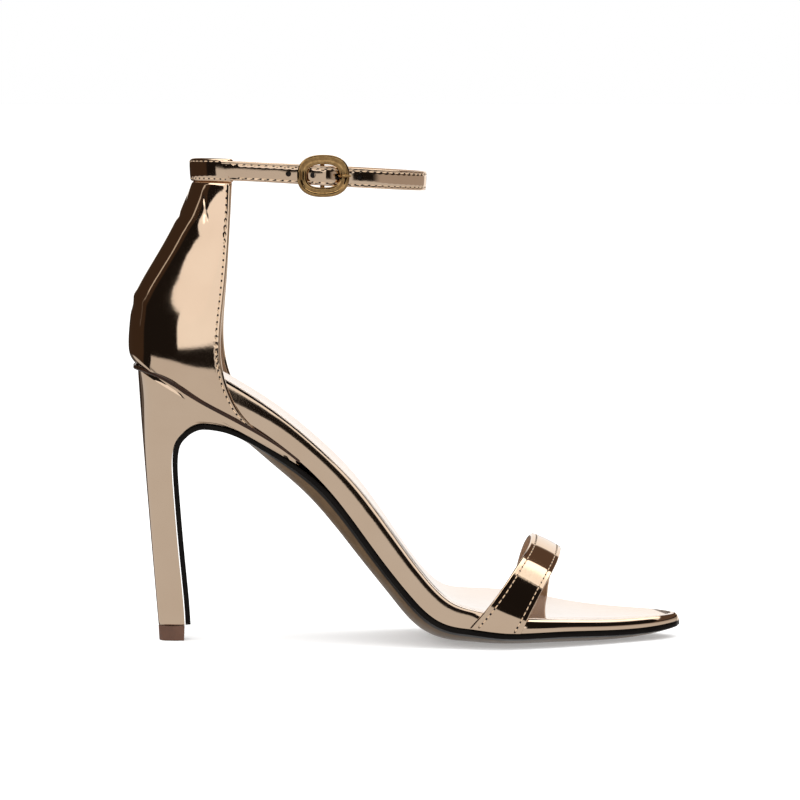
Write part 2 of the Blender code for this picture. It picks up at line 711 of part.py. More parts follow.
def make_ankle_strap():
    """One strap: a loop round the buckle's bar, the ankle, and the free end on top."""
    strap = strip("ankle_strap", strap_stations(), STRAP_WIDTH, STRAP_THICKNESS, "mirror")
    bar = loop_angle(BUCKLE_X)
    rate = turn_per_metre(bar)
    for number in range(-HOLES_BEHIND, HOLES_AHEAD + 1):
        away = PRONG_HOLE_OFFSET + number * HOLE_PITCH
        if number:
            punch(strap, bar - away * rate, LAYER + over_bar(away))
    start = [(BAR_WIRE / 2, 0.0)]
    way = wire("prong_way", buckle_points(start + prong_line()), PRONG_WIRE + 2 * PRONG_CLEARANCE)
    combine(strap, way, "DIFFERENCE")


def punch(strap, angle, offset):
    """A round hole through the free end of the strap only."""
    place, out = loop_point(angle, offset)
    shape = bmesh.new()
    radius = HOLE_DIAMETER / 2
    depth = STRAP_THICKNESS + CLEARANCE
    bmesh.ops.create_cone(
        shape, cap_ends=True, segments=12, radius1=radius, radius2=radius, depth=depth
    )
    cutter = finish("hole", shape, "mirror")
    cutter.location = (place[0], place[1], loop_height(angle))
    cutter.rotation_euler = (math.pi / 2, 0, math.atan2(out[1], out[0]) + math.pi / 2)
    combine(strap, cutter, "DIFFERENCE")


def make_tunnel():
    """The folded band at the counter's top that the ankle strap runs through."""
    start, stop = loop_angle(TUNNEL_FRONT_X), loop_angle(TUNNEL_FRONT_X, False)
    half_gap = STRAP_THICKNESS / 2 + CLEARANCE
    skins, hollows = [], []
    for angle in np.linspace(start, stop, COUNTER_STEPS):
        z = loop_height(angle)
        hollow, skin = [], []
        for side, up in ((-1, -1), (1, -1), (1, 1), (-1, 1)):
            inner, _ = loop_point(angle, side * half_gap)
            outer, _ = loop_point(angle, side * (half_gap + TUNNEL_WALL))
            hollow.append((inner[0], inner[1], z + up * (STRAP_WIDTH / 2 + CLEARANCE)))
            skin.append((outer[0], outer[1], z + up * TUNNEL_HEIGHT / 2))
        skins.append(skin)
        hollows.append(hollow)
    shape = bmesh.new()
    loops = list(zip(bridge(shape, skins), bridge(shape, hollows)))
    for skin, hollow in (loops[0], loops[-1]):
        for i in range(4):
            j = (i + 1) % 4
            shape.faces.new((skin[i], skin[j], hollow[j], hollow[i]))
    return finish("strap_tunnel", shape, "mirror")


def buckle_points(pairs, height=0.0):
    """Points in the buckle's own frame: forward along the strap, and outwards."""
    angle = loop_angle(BUCKLE_X)
    place, out = loop_point(angle, 0)
    centre = np.array((place[0], place[1], loop_height(angle) + height))
    along = np.array((-out[1], out[0], 0.0))
    outwards = np.array((out[0], out[1], 0.0))
    return [centre + along * ahead + outwards * away for ahead, away in pairs]


def wire(name, points, diameter, look="hardware", cyclic=False):
    """A round wire through points, as a mesh."""
    curve = bpy.data.curves.new(name, "CURVE")
    curve.dimensions = "3D"
    curve.bevel_depth = diameter / 2
    curve.bevel_resolution = 2
    curve.use_fill_caps = True
    run = curve.splines.new("POLY")
    run.points.add(len(points) - 1)
    for spot, point in zip(run.points, points):
        spot.co = (*point, 1)
    run.use_cyclic_u = cyclic
    rough = bpy.data.objects.new(name + "_curve", curve)
    parts.objects.link(rough)
    graph = bpy.context.evaluated_depsgraph_get()
    mesh = bpy.data.meshes.new_from_object(rough.evaluated_get(graph))
    bpy.data.objects.remove(rough)
    shape = bmesh.new()
    shape.from_mesh(mesh)
    return finish(name, shape, look)


def combine(first, second, operation):
    """Joins or cuts the first solid with the second, which becomes a helper."""
    second.hide_render = True
    second.display_type = "WIRE"
    parts.objects.unlink(second)
    cutters.objects.link(second)
    step = first.modifiers.new(second.name, "BOOLEAN")
    step.operation = operation
    step.object = second


def prong_line():
    """The prong from the bar, up through its hole and over the front of the frame."""
    high = FRAME_OFFSET + BUCKLE_WIRE / 2 + CLEARANCE + PRONG_WIRE / 2
    hole = PRONG_HOLE_OFFSET
    end = (BUCKLE_LENGTH - BUCKLE_WIRE) / 2
    return [
        (BAR_WIRE / 2 + CLEARANCE, 0.0),
        (hole * 0.62, 0.06 * high),
        (hole * 0.86, 0.16 * high),
        (hole * 1.06, 0.42 * high),
        (hole * 1.24, 0.76 * high),
        (end - BUCKLE_WIRE / 2, 0.98 * high),
        (end + BUCKLE_WIRE / 4, 1.03 * high),
        (end + BUCKLE_WIRE / 2 + PRONG_WIRE / 2, 0.98 * high),
    ]


def make_buckle():
    """An oval ring outside the strap, a bar that dips under it, and the prong."""
    long = (BUCKLE_LENGTH - BUCKLE_WIRE) / 2
    tall = (BUCKLE_HEIGHT - BUCKLE_WIRE) / 2
    ring = []
    for angle in np.linspace(0, 2 * math.pi, 41)[:-1]:
        c, s = math.cos(angle), math.sin(angle)
        ahead = long * math.copysign(abs(c) ** 0.8, c)
        height = tall * math.copysign(abs(s) ** 0.8, s)
        ring += buckle_points([(ahead, FRAME_OFFSET)], height)
    frame = wire("buckle_frame", ring, BUCKLE_WIRE, cyclic=True)
    clear = STRAP_WIDTH / 2 + CLEARANCE + BAR_WIRE / 2
    bar = []
    for height, depth in (
        (-tall, FRAME_OFFSET),
        (-tall * 0.93, FRAME_OFFSET * 0.5),
        (-clear, 0),
        (clear, 0),
        (tall * 0.93, FRAME_OFFSET * 0.5),
        (tall, FRAME_OFFSET),
    ):
        bar += buckle_points([(0, depth)], height)
    combine(frame, wire("buckle_bar", bar, BAR_WIRE), "UNION")
    wire("buckle_prong", buckle_points(prong_line()), PRONG_WIRE)


def toe_strap_point(row, share):
    """The strap's middle surface, at share across it from -0.5 behind to 0.5 in front."""
    u = row["forward"] + share * row["across"] * TOE_STRAP_WIDTH / SOLE_LENGTH
    off = TOE_STRAP_STANDOFF + TOE_STRAP_THICKNESS / 2
    y = SOLE["axis"](u) * AXIS_OFFSET + row["side"] * (sole_half(u) + off)
    foot = sole_point(u, row["side"], band_depth(u))[2]
    x = SEAT_BACK_X + u * SOLE_LENGTH
    return np.array((x, y, foot + (row["up"] + share * row["drop"]) * TOE_STRAP_HEIGHT))


def make_toe_strap():
    """The band over the toes, from the lateral edge of the sole to the medial one."""
    shares = np.linspace(-0.5, 0.5, 5)
    rows = []
    for along in np.linspace(0, 1, 33):
        rows.append({c: TOE_STRAP[c](along) for c in TOE_STRAP_COLUMNS})
    middle = np.array([[toe_strap_point(row, share) for share in shares] for row in rows])
    outward = np.cross(np.gradient(middle, axis=1), np.gradient(middle, axis=0))
    outward /= np.linalg.norm(outward, axis=2)[:, :, None]
    half = outward * TOE_STRAP_THICKNESS / 2
    rings = np.concatenate([middle + half, (middle - half)[:, ::-1]], axis=1)
    return loft("toe_strap", rings, "mirror")


def stand_at_origin():
    """Puts the middle of the sandal's box over the origin."""
    bpy.context.view_layer.update()
    graph = bpy.context.evaluated_depsgraph_get()
    corners = []
    for item in parts.objects:
        if item.type == "MESH":
            mesh = item.evaluated_get(graph).to_mesh()
            corners += [tuple(v.co) for v in mesh.vertices]
    low, high = np.min(corners, axis=0), np.max(corners, axis=0)
    root.location = (-(low[0] + high[0]) / 2, -(low[1] + high[1]) / 2, 0)


for item in list(bpy.data.objects):
    bpy.data.objects.remove(item)

parts = bpy.data.collections.new("heeled_sandal")
cutters = bpy.data.collections.new("cutters")
for group in (parts, cutters):
    bpy.context.scene.collection.children.link(group)
root = bpy.data.objects.new("sandal_root", None)
parts.objects.link(root)

make_insole()
make_midsole()
make_outsole()
make_heel()
make_top_lift()
make_counter()
make_tunnel()
make_ankle_strap()
make_buckle()
make_toe_strap()
stand_at_origin()
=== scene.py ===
"""The looks of a strappy heeled sandal, right foot, in mirror rose gold.

Metres, +X to the toe, -Y to the lateral side, +Z up. The shape tables hold shares of
the named sizes, the same ones that the solids are made from, read more finely here.
"""

import math

import bmesh
import bpy
import numpy as np
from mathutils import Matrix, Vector


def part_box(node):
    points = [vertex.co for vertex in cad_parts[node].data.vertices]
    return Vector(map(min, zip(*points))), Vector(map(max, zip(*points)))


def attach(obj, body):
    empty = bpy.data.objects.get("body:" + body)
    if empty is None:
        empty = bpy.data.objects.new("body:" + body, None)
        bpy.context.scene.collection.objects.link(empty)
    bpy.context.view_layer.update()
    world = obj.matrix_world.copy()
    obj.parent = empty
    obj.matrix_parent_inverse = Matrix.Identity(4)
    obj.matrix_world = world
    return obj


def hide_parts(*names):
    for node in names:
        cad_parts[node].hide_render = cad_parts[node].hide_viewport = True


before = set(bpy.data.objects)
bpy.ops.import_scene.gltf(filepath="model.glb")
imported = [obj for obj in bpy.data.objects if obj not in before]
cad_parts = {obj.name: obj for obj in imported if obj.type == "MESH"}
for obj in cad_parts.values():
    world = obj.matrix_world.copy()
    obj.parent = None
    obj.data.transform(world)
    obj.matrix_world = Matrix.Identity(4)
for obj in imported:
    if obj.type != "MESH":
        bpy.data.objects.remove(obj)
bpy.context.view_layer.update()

# Sizes shared with the solids
CLEARANCE = 0.0003
SEAT_BACK_X = -0.0985
SOLE_LENGTH = 0.1995
BALL_WIDTH = 0.0730
SEAT_WIDTH = 0.0436
AXIS_OFFSET = 0.0025
FOREFOOT_EDGE = 0.0089
BAND_THICKNESS = 0.0088
BELLY_DEPTH = 0.0056
MEDIAL_HEIGHT = 0.0026
FOOTBED_DEPTH = 0.0014
OUTSOLE_THICKNESS = 0.0019
HEEL_ROUND_RADIUS = 0.0260
HEEL_FULLNESS = 2.4
TOE_ROUND_RADIUS = 0.0120
TOE_FULLNESS = 2.2
BELLY_FULLNESS = 2.2
SEAT_LEAN = math.radians(-14)
LEAN_LENGTH = 0.0360
WING_JOIN_SHARE = 0.028
HEEL_HEIGHT = 0.1007
HEEL_RAKE_DEPTH = 0.0073
WING_SHARE = 0.2927
TOP_LIFT_HEIGHT = 0.0058
TOP_LIFT_DRAFT = 0.0003
COLUMN_ROUND_SHARE = 0.75
COLUMN_TAPER_SHARE = 0.10
WING_FULL_SHARE = 0.85
COUNTER_WALL = 0.0020
COUNTER_DEPTH = 0.0428
MEDIAL_WING_DEPTH = 0.0030
COUNTER_FOOT_SHARE = 0.2
COUNTER_NECK_SHARE = 0.6
LOOP_BACK_X = -0.0771
LOOP_FRONT_X = 0.0067
LOOP_WIDTH = 0.0520
STRAP_WIDTH = 0.0070
STRAP_THICKNESS = 0.0014
STRAP_FRONT_HEIGHT = 0.0675
STRAP_BACK_HEIGHT = 0.0715
STRAP_LATERAL_HEIGHT = 0.0012
SETTLE_LENGTH = 0.0066
TAIL_LENGTH = 0.0140
TIP_LAP_LENGTH = 0.0030
TUNNEL_HEIGHT = 0.0086
TUNNEL_WALL = 0.0008
TUNNEL_FRONT_X = -0.0640
BUCKLE_X = -0.0315
BUCKLE_LENGTH = 0.0182
BUCKLE_HEIGHT = 0.0145
BUCKLE_WIRE = 0.0019
BAR_WIRE = 0.0016
PRONG_WIRE = 0.0013
PRONG_HOLE_OFFSET = 0.0050
HOLE_DIAMETER = 0.0020
HOLE_PITCH = 0.0085
HOLES_BEHIND = 2
HOLES_AHEAD = 1
TOE_STRAP_WIDTH = 0.0132
TOE_STRAP_HEIGHT = 0.0275
TOE_STRAP_THICKNESS = 0.0015
TOE_STRAP_STANDOFF = 0.0004

SOLE_COLUMNS = ("along", "rise", "seat", "ball", "axis", "tilt", "band", "belly")
SOLE_ROWS = (
    (0.000, 1.000, 1.000, 0.000, 1.00, 0.00, 1.205, 0.05),
    (0.048, 0.972, 1.000, 0.000, 1.00, 0.00, 1.195, 0.05),
    (0.108, 0.919, 1.000, 0.000, 1.00, 0.00, 1.270, 0.05),
    (0.188, 0.830, 0.985, 0.000, 0.92, 0.10, 1.230, 0.10),
    (0.260, 0.734, 0.930, 0.025, 0.76, 0.30, 1.090, 0.39),
    (0.332, 0.616, 0.800, 0.114, 0.50, 0.42, 0.966, 0.93),
    (0.404, 0.471, 0.550, 0.308, 0.28, 0.46, 1.010, 0.98),
    (0.475, 0.285, 0.250, 0.585, 0.10, 0.30, 1.020, 0.82),
    (0.529, 0.148, 0.100, 0.767, 0.00, 0.10, 0.977, 0.79),
    (0.565, 0.083, 0.030, 0.875, 0.00, 0.12, 0.960, 0.96),
    (0.602, 0.055, 0.000, 0.948, 0.00, 0.45, 0.818, 1.04),
    (0.656, 0.035, 0.000, 1.000, 0.00, 0.95, 0.727, 1.00),
    (0.711, 0.023, 0.000, 0.980, 0.08, 1.00, 0.614, 0.96),
    (0.766, 0.015, 0.000, 0.890, 0.28, 0.62, 0.511, 0.89),
    (0.843, 0.004, 0.000, 0.700, 0.64, 0.27, 0.443, 0.71),
    (0.920, 0.000, 0.000, 0.455, 0.92, 0.19, 0.430, 0.43),
    (1.000, 0.001, 0.000, 0.220, 1.04, 0.00, 0.300, 0.05),
)
HEEL_COLUMNS = ("back", "front", "forward", "half", "belly", "outline")
HEEL_ROWS = (
    (0.058, 0.058, 0.289, 0.216, 0.00, 0.0),
    (0.169, 0.161, 0.277, 0.228, 0.00, 0.0),
    (0.357, 0.344, 0.247, 0.261, 0.00, 0.0),
    (0.566, 0.549, 0.219, 0.324, 0.00, 0.0),
    (0.680, 0.648, 0.211, 0.407, 0.00, 0.1),
    (0.750, 0.702, 0.219, 0.498, 0.00, 0.2),
    (0.804, 0.742, 0.245, 0.606, 0.00, 0.4),
    (0.854, 0.779, 0.307, 0.730, 0.00, 0.6),
    (0.889, 0.798, 0.375, 0.822, 0.00, 0.8),
    (0.916, 0.800, 0.445, 0.888, 0.01, 0.9),
    (0.941, 0.789, 0.555, 0.946, 0.05, 1.0),
    (0.961, 0.764, 0.666, 0.975, 0.15, 1.0),
    (0.975, 0.737, 0.759, 0.988, 0.32, 1.0),
    (0.987, 0.693, 0.882, 0.995, 0.60, 1.0),
    (0.994, 0.652, 1.000, 1.000, 0.82, 1.0),
)
COUNTER_COLUMNS = ("up", "setback", "height", "forward", "front", "half", "fullness")
COUNTER_ROWS = (
    (0.00, 0.000, 0.000, 1.000, -0.310, 1.000, 2.6),
    (0.06, -0.036, 0.049, 0.890, -0.246, 1.030, 2.6),
    (0.14, -0.049, 0.121, 0.797, -0.153, 1.060, 2.5),
    (0.26, -0.043, 0.229, 0.722, -0.011, 1.080, 2.4),
    (0.40, -0.018, 0.371, 0.701, 0.162, 1.065, 2.3),
    (0.55, 0.057, 0.522, 0.727, 0.356, 1.015, 2.2),
    (0.70, 0.150, 0.678, 0.760, 0.558, 0.945, 2.1),
    (0.85, 0.237, 0.838, 0.783, 0.772, 0.865, 2.0),
    (1.00, 0.312, 1.000, 0.797, 1.000, 0.800, 2.0),
)
TOE_STRAP_COLUMNS = ("along", "forward", "side", "up", "drop", "across")
TOE_STRAP_ROWS = (
    (0.00, 0.645, -1.00, 0.01, 0.000, 1.40),
    (0.07, 0.662, -1.00, 0.19, -0.150, 1.10),
    (0.17, 0.687, -0.96, 0.48, -0.240, 0.87),
    (0.29, 0.714, -0.79, 0.75, -0.225, 0.84),
    (0.43, 0.738, -0.51, 0.95, -0.200, 0.82),
    (0.56, 0.750, -0.10, 1.03, -0.185, 0.82),
    (0.69, 0.753, 0.34, 0.98, -0.165, 0.85),
    (0.81, 0.748, 0.72, 0.77, -0.130, 0.90),
    (0.90, 0.741, 0.93, 0.46, -0.080, 0.95),
    (0.96, 0.736, 1.00, 0.19, -0.030, 1.00),
    (1.00, 0.734, 1.00, 0.01, 0.000, 1.05),
)

SEAT_HALF = SEAT_WIDTH / 2
OUTER_HALF = SEAT_HALF + CLEARANCE + COUNTER_WALL
LAYER = STRAP_THICKNESS + CLEARANCE
OVER_BAR = BAR_WIRE / 2 + CLEARANCE + STRAP_THICKNESS / 2
FRAME_OFFSET = LAYER + STRAP_THICKNESS / 2 + CLEARANCE + BUCKLE_WIRE / 2
TUNNEL_OUTSIDE = STRAP_THICKNESS / 2 + CLEARANCE + TUNNEL_WALL
TIP_OFFSET = TUNNEL_OUTSIDE + CLEARANCE + STRAP_THICKNESS / 2

# The finish of edges and seams, judged from the photo
SOCK_EDGE = 0.0018
STITCH_PITCH = 0.0027
COUNTER_PITCH = 0.0025
TOE_PITCH = 0.0023
THREAD = 0.00034
NEEDLE_LONG = 0.00062
NEEDLE_WIDE = 0.00046
DENT_DEPTH = 0.0002
TIP_SLANT = 0.0042
STRAP_LEAN = math.tan(math.radians(2.7))
EDGE_SEAM = 0.0015
STRAP_SEAM = 0.0011
TUNNEL_SEAM = 0.0012
SEAM_SPREAD = 0.00035
STRAP_SEAM_SPREAD = 0.0003
DENT_SPREAD = 0.00045
DENT_REST = 0.3
TIP_SLANT_LENGTH = 0.0090
STRAP_SWELL = 0.00012
TOE_SWELL = 0.00035
HEEL_ROLL = 0.0003
SEAM_DEPTH = 0.4 * DENT_DEPTH
PRONG_HOLE_SHARE = 1.15

# How finely the ankle strap is drawn, and how many steps round it off
STEP = 0.0003
BLUR = 2

# Camera: the photo's angle, 3 degrees from behind the side view
CAMERA_TURN = math.radians(3)
CAMERA_DISTANCE = 1.7
CAMERA_RISE = 0.116
TARGET = Vector((-0.002, 0.0, 0.088))
PIXELS_PER_METRE = 2730
FRAME_PIXELS = 800
SENSOR = 36.0


# Plain functions that every piece uses


def spline(xs, ys):
    """The natural cubic through the points, as a function of x."""
    xs, ys = np.array(xs, float), np.array(ys, float)
    step = np.diff(xs)
    count = len(xs)
    matrix, right = np.eye(count), np.zeros(count)
    for i in range(1, count - 1):
        matrix[i, i - 1 : i + 2] = step[i - 1], 2 * (step[i - 1] + step[i]), step[i]
        right[i] = 6 * ((ys[i + 1] - ys[i]) / step[i] - (ys[i] - ys[i - 1]) / step[i - 1])
    bend = np.linalg.solve(matrix, right)

    def at(x):
        i = np.clip(np.searchsorted(xs, x) - 1, 0, count - 2)
        h, before, after = step[i], x - xs[i], xs[i + 1] - x
        cubes = (bend[i] * after**3 + bend[i + 1] * before**3) / (6 * h)
        lines = (ys[i] / h - bend[i] * h / 6) * after
        return cubes + lines + (ys[i + 1] / h - bend[i + 1] * h / 6) * before

    return at


def read_table(columns, rows, by):
    key = [row[columns.index(by)] for row in rows]
    return {c: spline(key, [row[i] for row in rows]) for i, c in enumerate(columns)}


def read_row(table, at):
    return {name: float(curve(at)) for name, curve in table.items()}


SOLE = read_table(SOLE_COLUMNS, SOLE_ROWS, "along")
COUNTER = read_table(COUNTER_COLUMNS, COUNTER_ROWS, "up")
TOE_STRAP = read_table(TOE_STRAP_COLUMNS, TOE_STRAP_ROWS, "along")

# The board's seat lies on the heel, and the wing reaches a share along the sole
SEAT_EDGE_HEIGHT = SOLE["band"](0.0) * BAND_THICKNESS * math.cos(SEAT_LEAN)
INSOLE_RISE = HEEL_HEIGHT + CLEARANCE + SEAT_EDGE_HEIGHT - FOREFOOT_EDGE
WING_LENGTH = WING_SHARE * SOLE_LENGTH


def ease(x):
    x = np.clip(x, 0.0, 1.0)
    return x * x * (3 - 2 * x)


def bell(x):
    return np.exp(-(x**2) / 2)


def crown(s):
    return 1 - np.abs(s) ** BELLY_FULLNESS


def rounded_end(distance, radius, fullness):
    share = np.clip(distance / radius, 0.0, 1.0)
    return (1 - (1 - share) ** fullness) ** (1 / fullness)


def unit(vectors):
    return vectors / np.maximum(np.linalg.norm(vectors, axis=-1, keepdims=True), 1e-12)


def run_of(line):
    """How far along a line each of its points lies."""
    return np.concatenate([[0], np.cumsum(np.linalg.norm(np.diff(line, axis=0), axis=1))])


def read_line(at, run, line):
    """A line's points, or its directions, at lengths along it."""
    return np.stack([np.interp(at, run, column) for column in line.T], axis=-1)


def smooth_line(points, count):
    """A finer line through given points, a natural cubic along their length."""
    points = np.array(points, float)
    run = run_of(points)
    at = np.linspace(0, run[-1], count)
    return np.stack([spline(run, column)(at) for column in points.T], axis=1)


# Materials


def shader_of(name):
    made = bpy.data.materials.new(name)
    made.use_nodes = True
    tree = made.node_tree
    return made, tree, tree.nodes["Principled BSDF"]


def feed(tree, target, inputs):
    """Each input of a node, by its name or number, gets a socket's link or a value."""
    for key, value in inputs.items():
        if isinstance(value, bpy.types.NodeSocket):
            tree.links.new(value, target.inputs[key])
        else:
            target.inputs[key].default_value = value


def node(tree, kind, inputs, **settings):
    made = tree.nodes.new(kind)
    for key, value in settings.items():
        setattr(made, key, value)
    feed(tree, made, inputs)
    return made


def object_point(tree):
    return node(tree, "ShaderNodeTexCoord", {}).outputs["Object"]


def noise(tree, scale, detail=2.0, distortion=0.0):
    inputs = {"Vector": object_point(tree), "Scale": scale, "Detail": detail, "Distortion": distortion}
    return node(tree, "ShaderNodeTexNoise", inputs).outputs["Fac"]


def ramp(tree, source, *stops):
    made = node(tree, "ShaderNodeValToRGB", {"Fac": source})
    for element, (place, color) in zip(made.color_ramp.elements, stops):
        element.position, element.color = place, (*color, 1)
    return made.outputs["Color"]


def bump(tree, source, distance, after=None):
    inputs = {"Height": source, "Distance": distance}
    if after:
        inputs["Normal"] = after
    return node(tree, "ShaderNodeBump", inputs).outputs["Normal"]


def level(tree, source, low, high):
    inputs = {"Value": source, "To Min": low, "To Max": high}
    return node(tree, "ShaderNodeMapRange", inputs).outputs["Result"]


def mirror_film(name, light, deep, wave, lean=0.0, metal=1.0):
    """Mirror film on leather: a metal whose reflections wander, and lean up or down."""
    made, tree, shader = shader_of(name)
    facing = node(tree, "ShaderNodeNewGeometry", {}).outputs["Normal"]
    leaning = node(tree, "ShaderNodeVectorMath", {0: facing, 1: (0, 0, lean)}, operation="ADD")
    slow = bump(tree, noise(tree, 80, 1.0, 0.3), wave, leaning.outputs[0])
    feed(tree, shader, {
        "Base Color": ramp(tree, noise(tree, 55), (0.3, deep), (0.7, light)),
        "Roughness": level(tree, noise(tree, 420, 3.0), *FILM_ROUGHNESS),
        "Metallic": metal,
        "Normal": bump(tree, noise(tree, 900), FINE_WAVE, slow),
    })
    return made


def leather(name, light, deep, rough, grain, shine=0.5, scale=1500):
    made, tree, shader = shader_of(name)
    cells = node(tree, "ShaderNodeTexVoronoi", {"Vector": object_point(tree), "Scale": scale})
    feed(tree, shader, {
        "Base Color": ramp(tree, noise(tree, 160, 4.0), (0.3, deep), (0.7, light)),
        "Roughness": level(tree, noise(tree, 300, 3.0), *rough),
        "Normal": bump(tree, cells.outputs["Distance"], grain),
        "Specular IOR Level": shine,
    })
    return made


def old_gold(name):
    made, tree, shader = shader_of(name)
    feed(tree, shader, {
        "Base Color": ramp(tree, noise(tree, 700, 3.0), (0.35, GOLD_DEEP), (0.65, GOLD_LIGHT)),
        "Roughness": level(tree, noise(tree, 900, 3.0), *GOLD_ROUGHNESS),
        "Metallic": 1.0,
    })
    return made


# Light and deep colours of the film, on the upper and on the sole
UPPER_ROSE = (0.94, 0.72, 0.53), (0.89, 0.67, 0.49)
SOLE_ROSE = (0.93, 0.72, 0.54), (0.89, 0.68, 0.50)
SOCK_ROSE = (0.95, 0.83, 0.75), (0.92, 0.79, 0.70)
GOLD_LIGHT, GOLD_DEEP = (0.52, 0.33, 0.14), (0.34, 0.20, 0.08)
FILM_ROUGHNESS = (0.035, 0.075)
GOLD_ROUGHNESS = (0.05, 0.13)
FINE_WAVE = 0.0000035

LOOKS = {
    "wall": mirror_film("mirror_wall", *UPPER_ROSE, 0.00006),
    "upper": mirror_film("mirror_upper", *UPPER_ROSE, 0.00010),
    "toe": mirror_film("mirror_toe", *UPPER_ROSE, 0.00003),
    "body": mirror_film("mirror_body", *SOLE_ROSE, 0.00004, -0.22),
    "wrap": mirror_film("mirror_wrap", *SOLE_ROSE, 0.00004),
    "sock": mirror_film("mirror_sock", *SOCK_ROSE, 0.00004, metal=0.85),
    "lining": leather("lining_leather", (0.34, 0.20, 0.11), (0.25, 0.14, 0.075), (0.42, 0.6), 0.00005),
    "edge": leather("edge_paint", (0.006, 0.005, 0.004), (0.004, 0.003, 0.003), (0.3, 0.4), 0.000004, 0.08),
    "under": leather("underside", (0.115, 0.070, 0.034), (0.085, 0.050, 0.024), (0.3, 0.42), 0.000003, 0.05),
    # The seat strip: near black brown, painted shade of the groove between heel and counter
    "seat": leather("seat_groove_shade", (0.030, 0.012, 0.006), (0.016, 0.007, 0.004), (0.16, 0.25), 0.000004, 0.3),
    "lift": leather("lift_rubber", (0.13, 0.058, 0.032), (0.085, 0.036, 0.02), (0.4, 0.6), 0.00004),
    "thread": leather("thread", (0.62, 0.44, 0.29), (0.48, 0.33, 0.20), (0.35, 0.5), 0.00004, scale=4000),
    # Needle marks and the walls of the punched holes: near black, painted shade of the holes
    "needle": leather("needle_hole_shade", (0.022, 0.011, 0.006), (0.012, 0.006, 0.004), (0.3, 0.5), 0.00001, 0.3),
    "gold": old_gold("antique_gold"),
}

# Meshes


def add_piece(name, points, faces, looks, slot, nodes=(), face_looks=None, sharp=48, normals=None):
    """A smooth-shaded mesh that rides on the body, and stands for the nodes.

    normals, if given, is a normal for each point, or zeros where the faces say it.
    """
    mesh = bpy.data.meshes.new(name)
    mesh.from_pydata([tuple(p) for p in np.asarray(points) + SHIFT], [], faces)
    for look in looks:
        mesh.materials.append(LOOKS[look])
    if face_looks is not None:
        mesh.polygons.foreach_set("material_index", np.asarray(face_looks, np.int32))
    if normals is not None:
        given = mesh.attributes.new("given", "FLOAT_VECTOR", "POINT")
        given.data.foreach_set("vector", np.asarray(normals, np.float32).ravel())
    tidy = bmesh.new()
    tidy.from_mesh(mesh)
    bmesh.ops.remove_doubles(tidy, verts=tidy.verts, dist=2e-6)
    bmesh.ops.dissolve_degenerate(tidy, edges=tidy.edges, dist=1e-6)
    bmesh.ops.recalc_face_normals(tidy, faces=tidy.faces)
    if tidy.calc_volume(signed=True) < 0:
        bmesh.ops.reverse_faces(tidy, faces=tidy.faces)
    tidy.to_mesh(mesh)
    tidy.free()
    mesh.shade_smooth()
    mesh.set_sharp_from_angle(angle=math.radians(sharp))
    if normals is not None:
        kept = np.empty(3 * len(mesh.vertices), np.float32)
        mesh.attributes["given"].data.foreach_get("vector", kept)
        mesh.attributes.remove(mesh.attributes["given"])
        mesh.normals_split_custom_set_from_vertices(kept.reshape(-1, 3).tolist())
    made = bpy.data.objects.new(name, mesh)
    bpy.context.scene.collection.objects.link(made)
    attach(made, "root")
    if nodes:
        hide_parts(*nodes)
    return made


def grid_faces(rows, columns, closed):
    """Quads between rows of points, closed round each row or not."""
    wide = columns if closed else columns - 1
    i, j = np.meshgrid(np.arange(rows - 1), np.arange(wide), indexing="ij")
    k = (j + 1) % columns
    here, above = i * columns, (i + 1) * columns
    return np.stack([here + j, here + k, above + k, above + j], axis=-1).reshape(-1, 4)


def ring_faces(rings):
    """Faces of closed rings whose last ring joins the first."""
    count, columns = rings.shape[:2]
    last = (count - 1) * columns
    joining = [[last + j, last + (j + 1) % columns, (j + 1) % columns, j] for j in range(columns)]
    return grid_faces(count, columns, True).tolist() + joining


def loft_faces(rings, look_columns=None):
    """Faces and their looks for closed rings with a cap at both ends."""
    rows, columns = rings.shape[:2]
    faces = grid_faces(rows, columns, True).tolist()
    looks = None
    if look_columns is not None:
        looks = np.tile(look_columns, rows - 1)
        looks = np.concatenate([looks, [look_columns[0], look_columns[0]]])
    faces.append(list(range(columns)))
    faces.append(list(range((rows - 1) * columns, rows * columns)))
    return faces, looks


def add_loft(name, rings, looks, slot, nodes=(), columns=None, **more):
    """A piece of closed rings with a cap at both ends, and a look for each column."""
    faces, face_looks = loft_faces(rings, columns)
    return add_piece(name, rings.reshape(-1, 3), faces, looks, slot, nodes, face_looks, **more)


# The sole


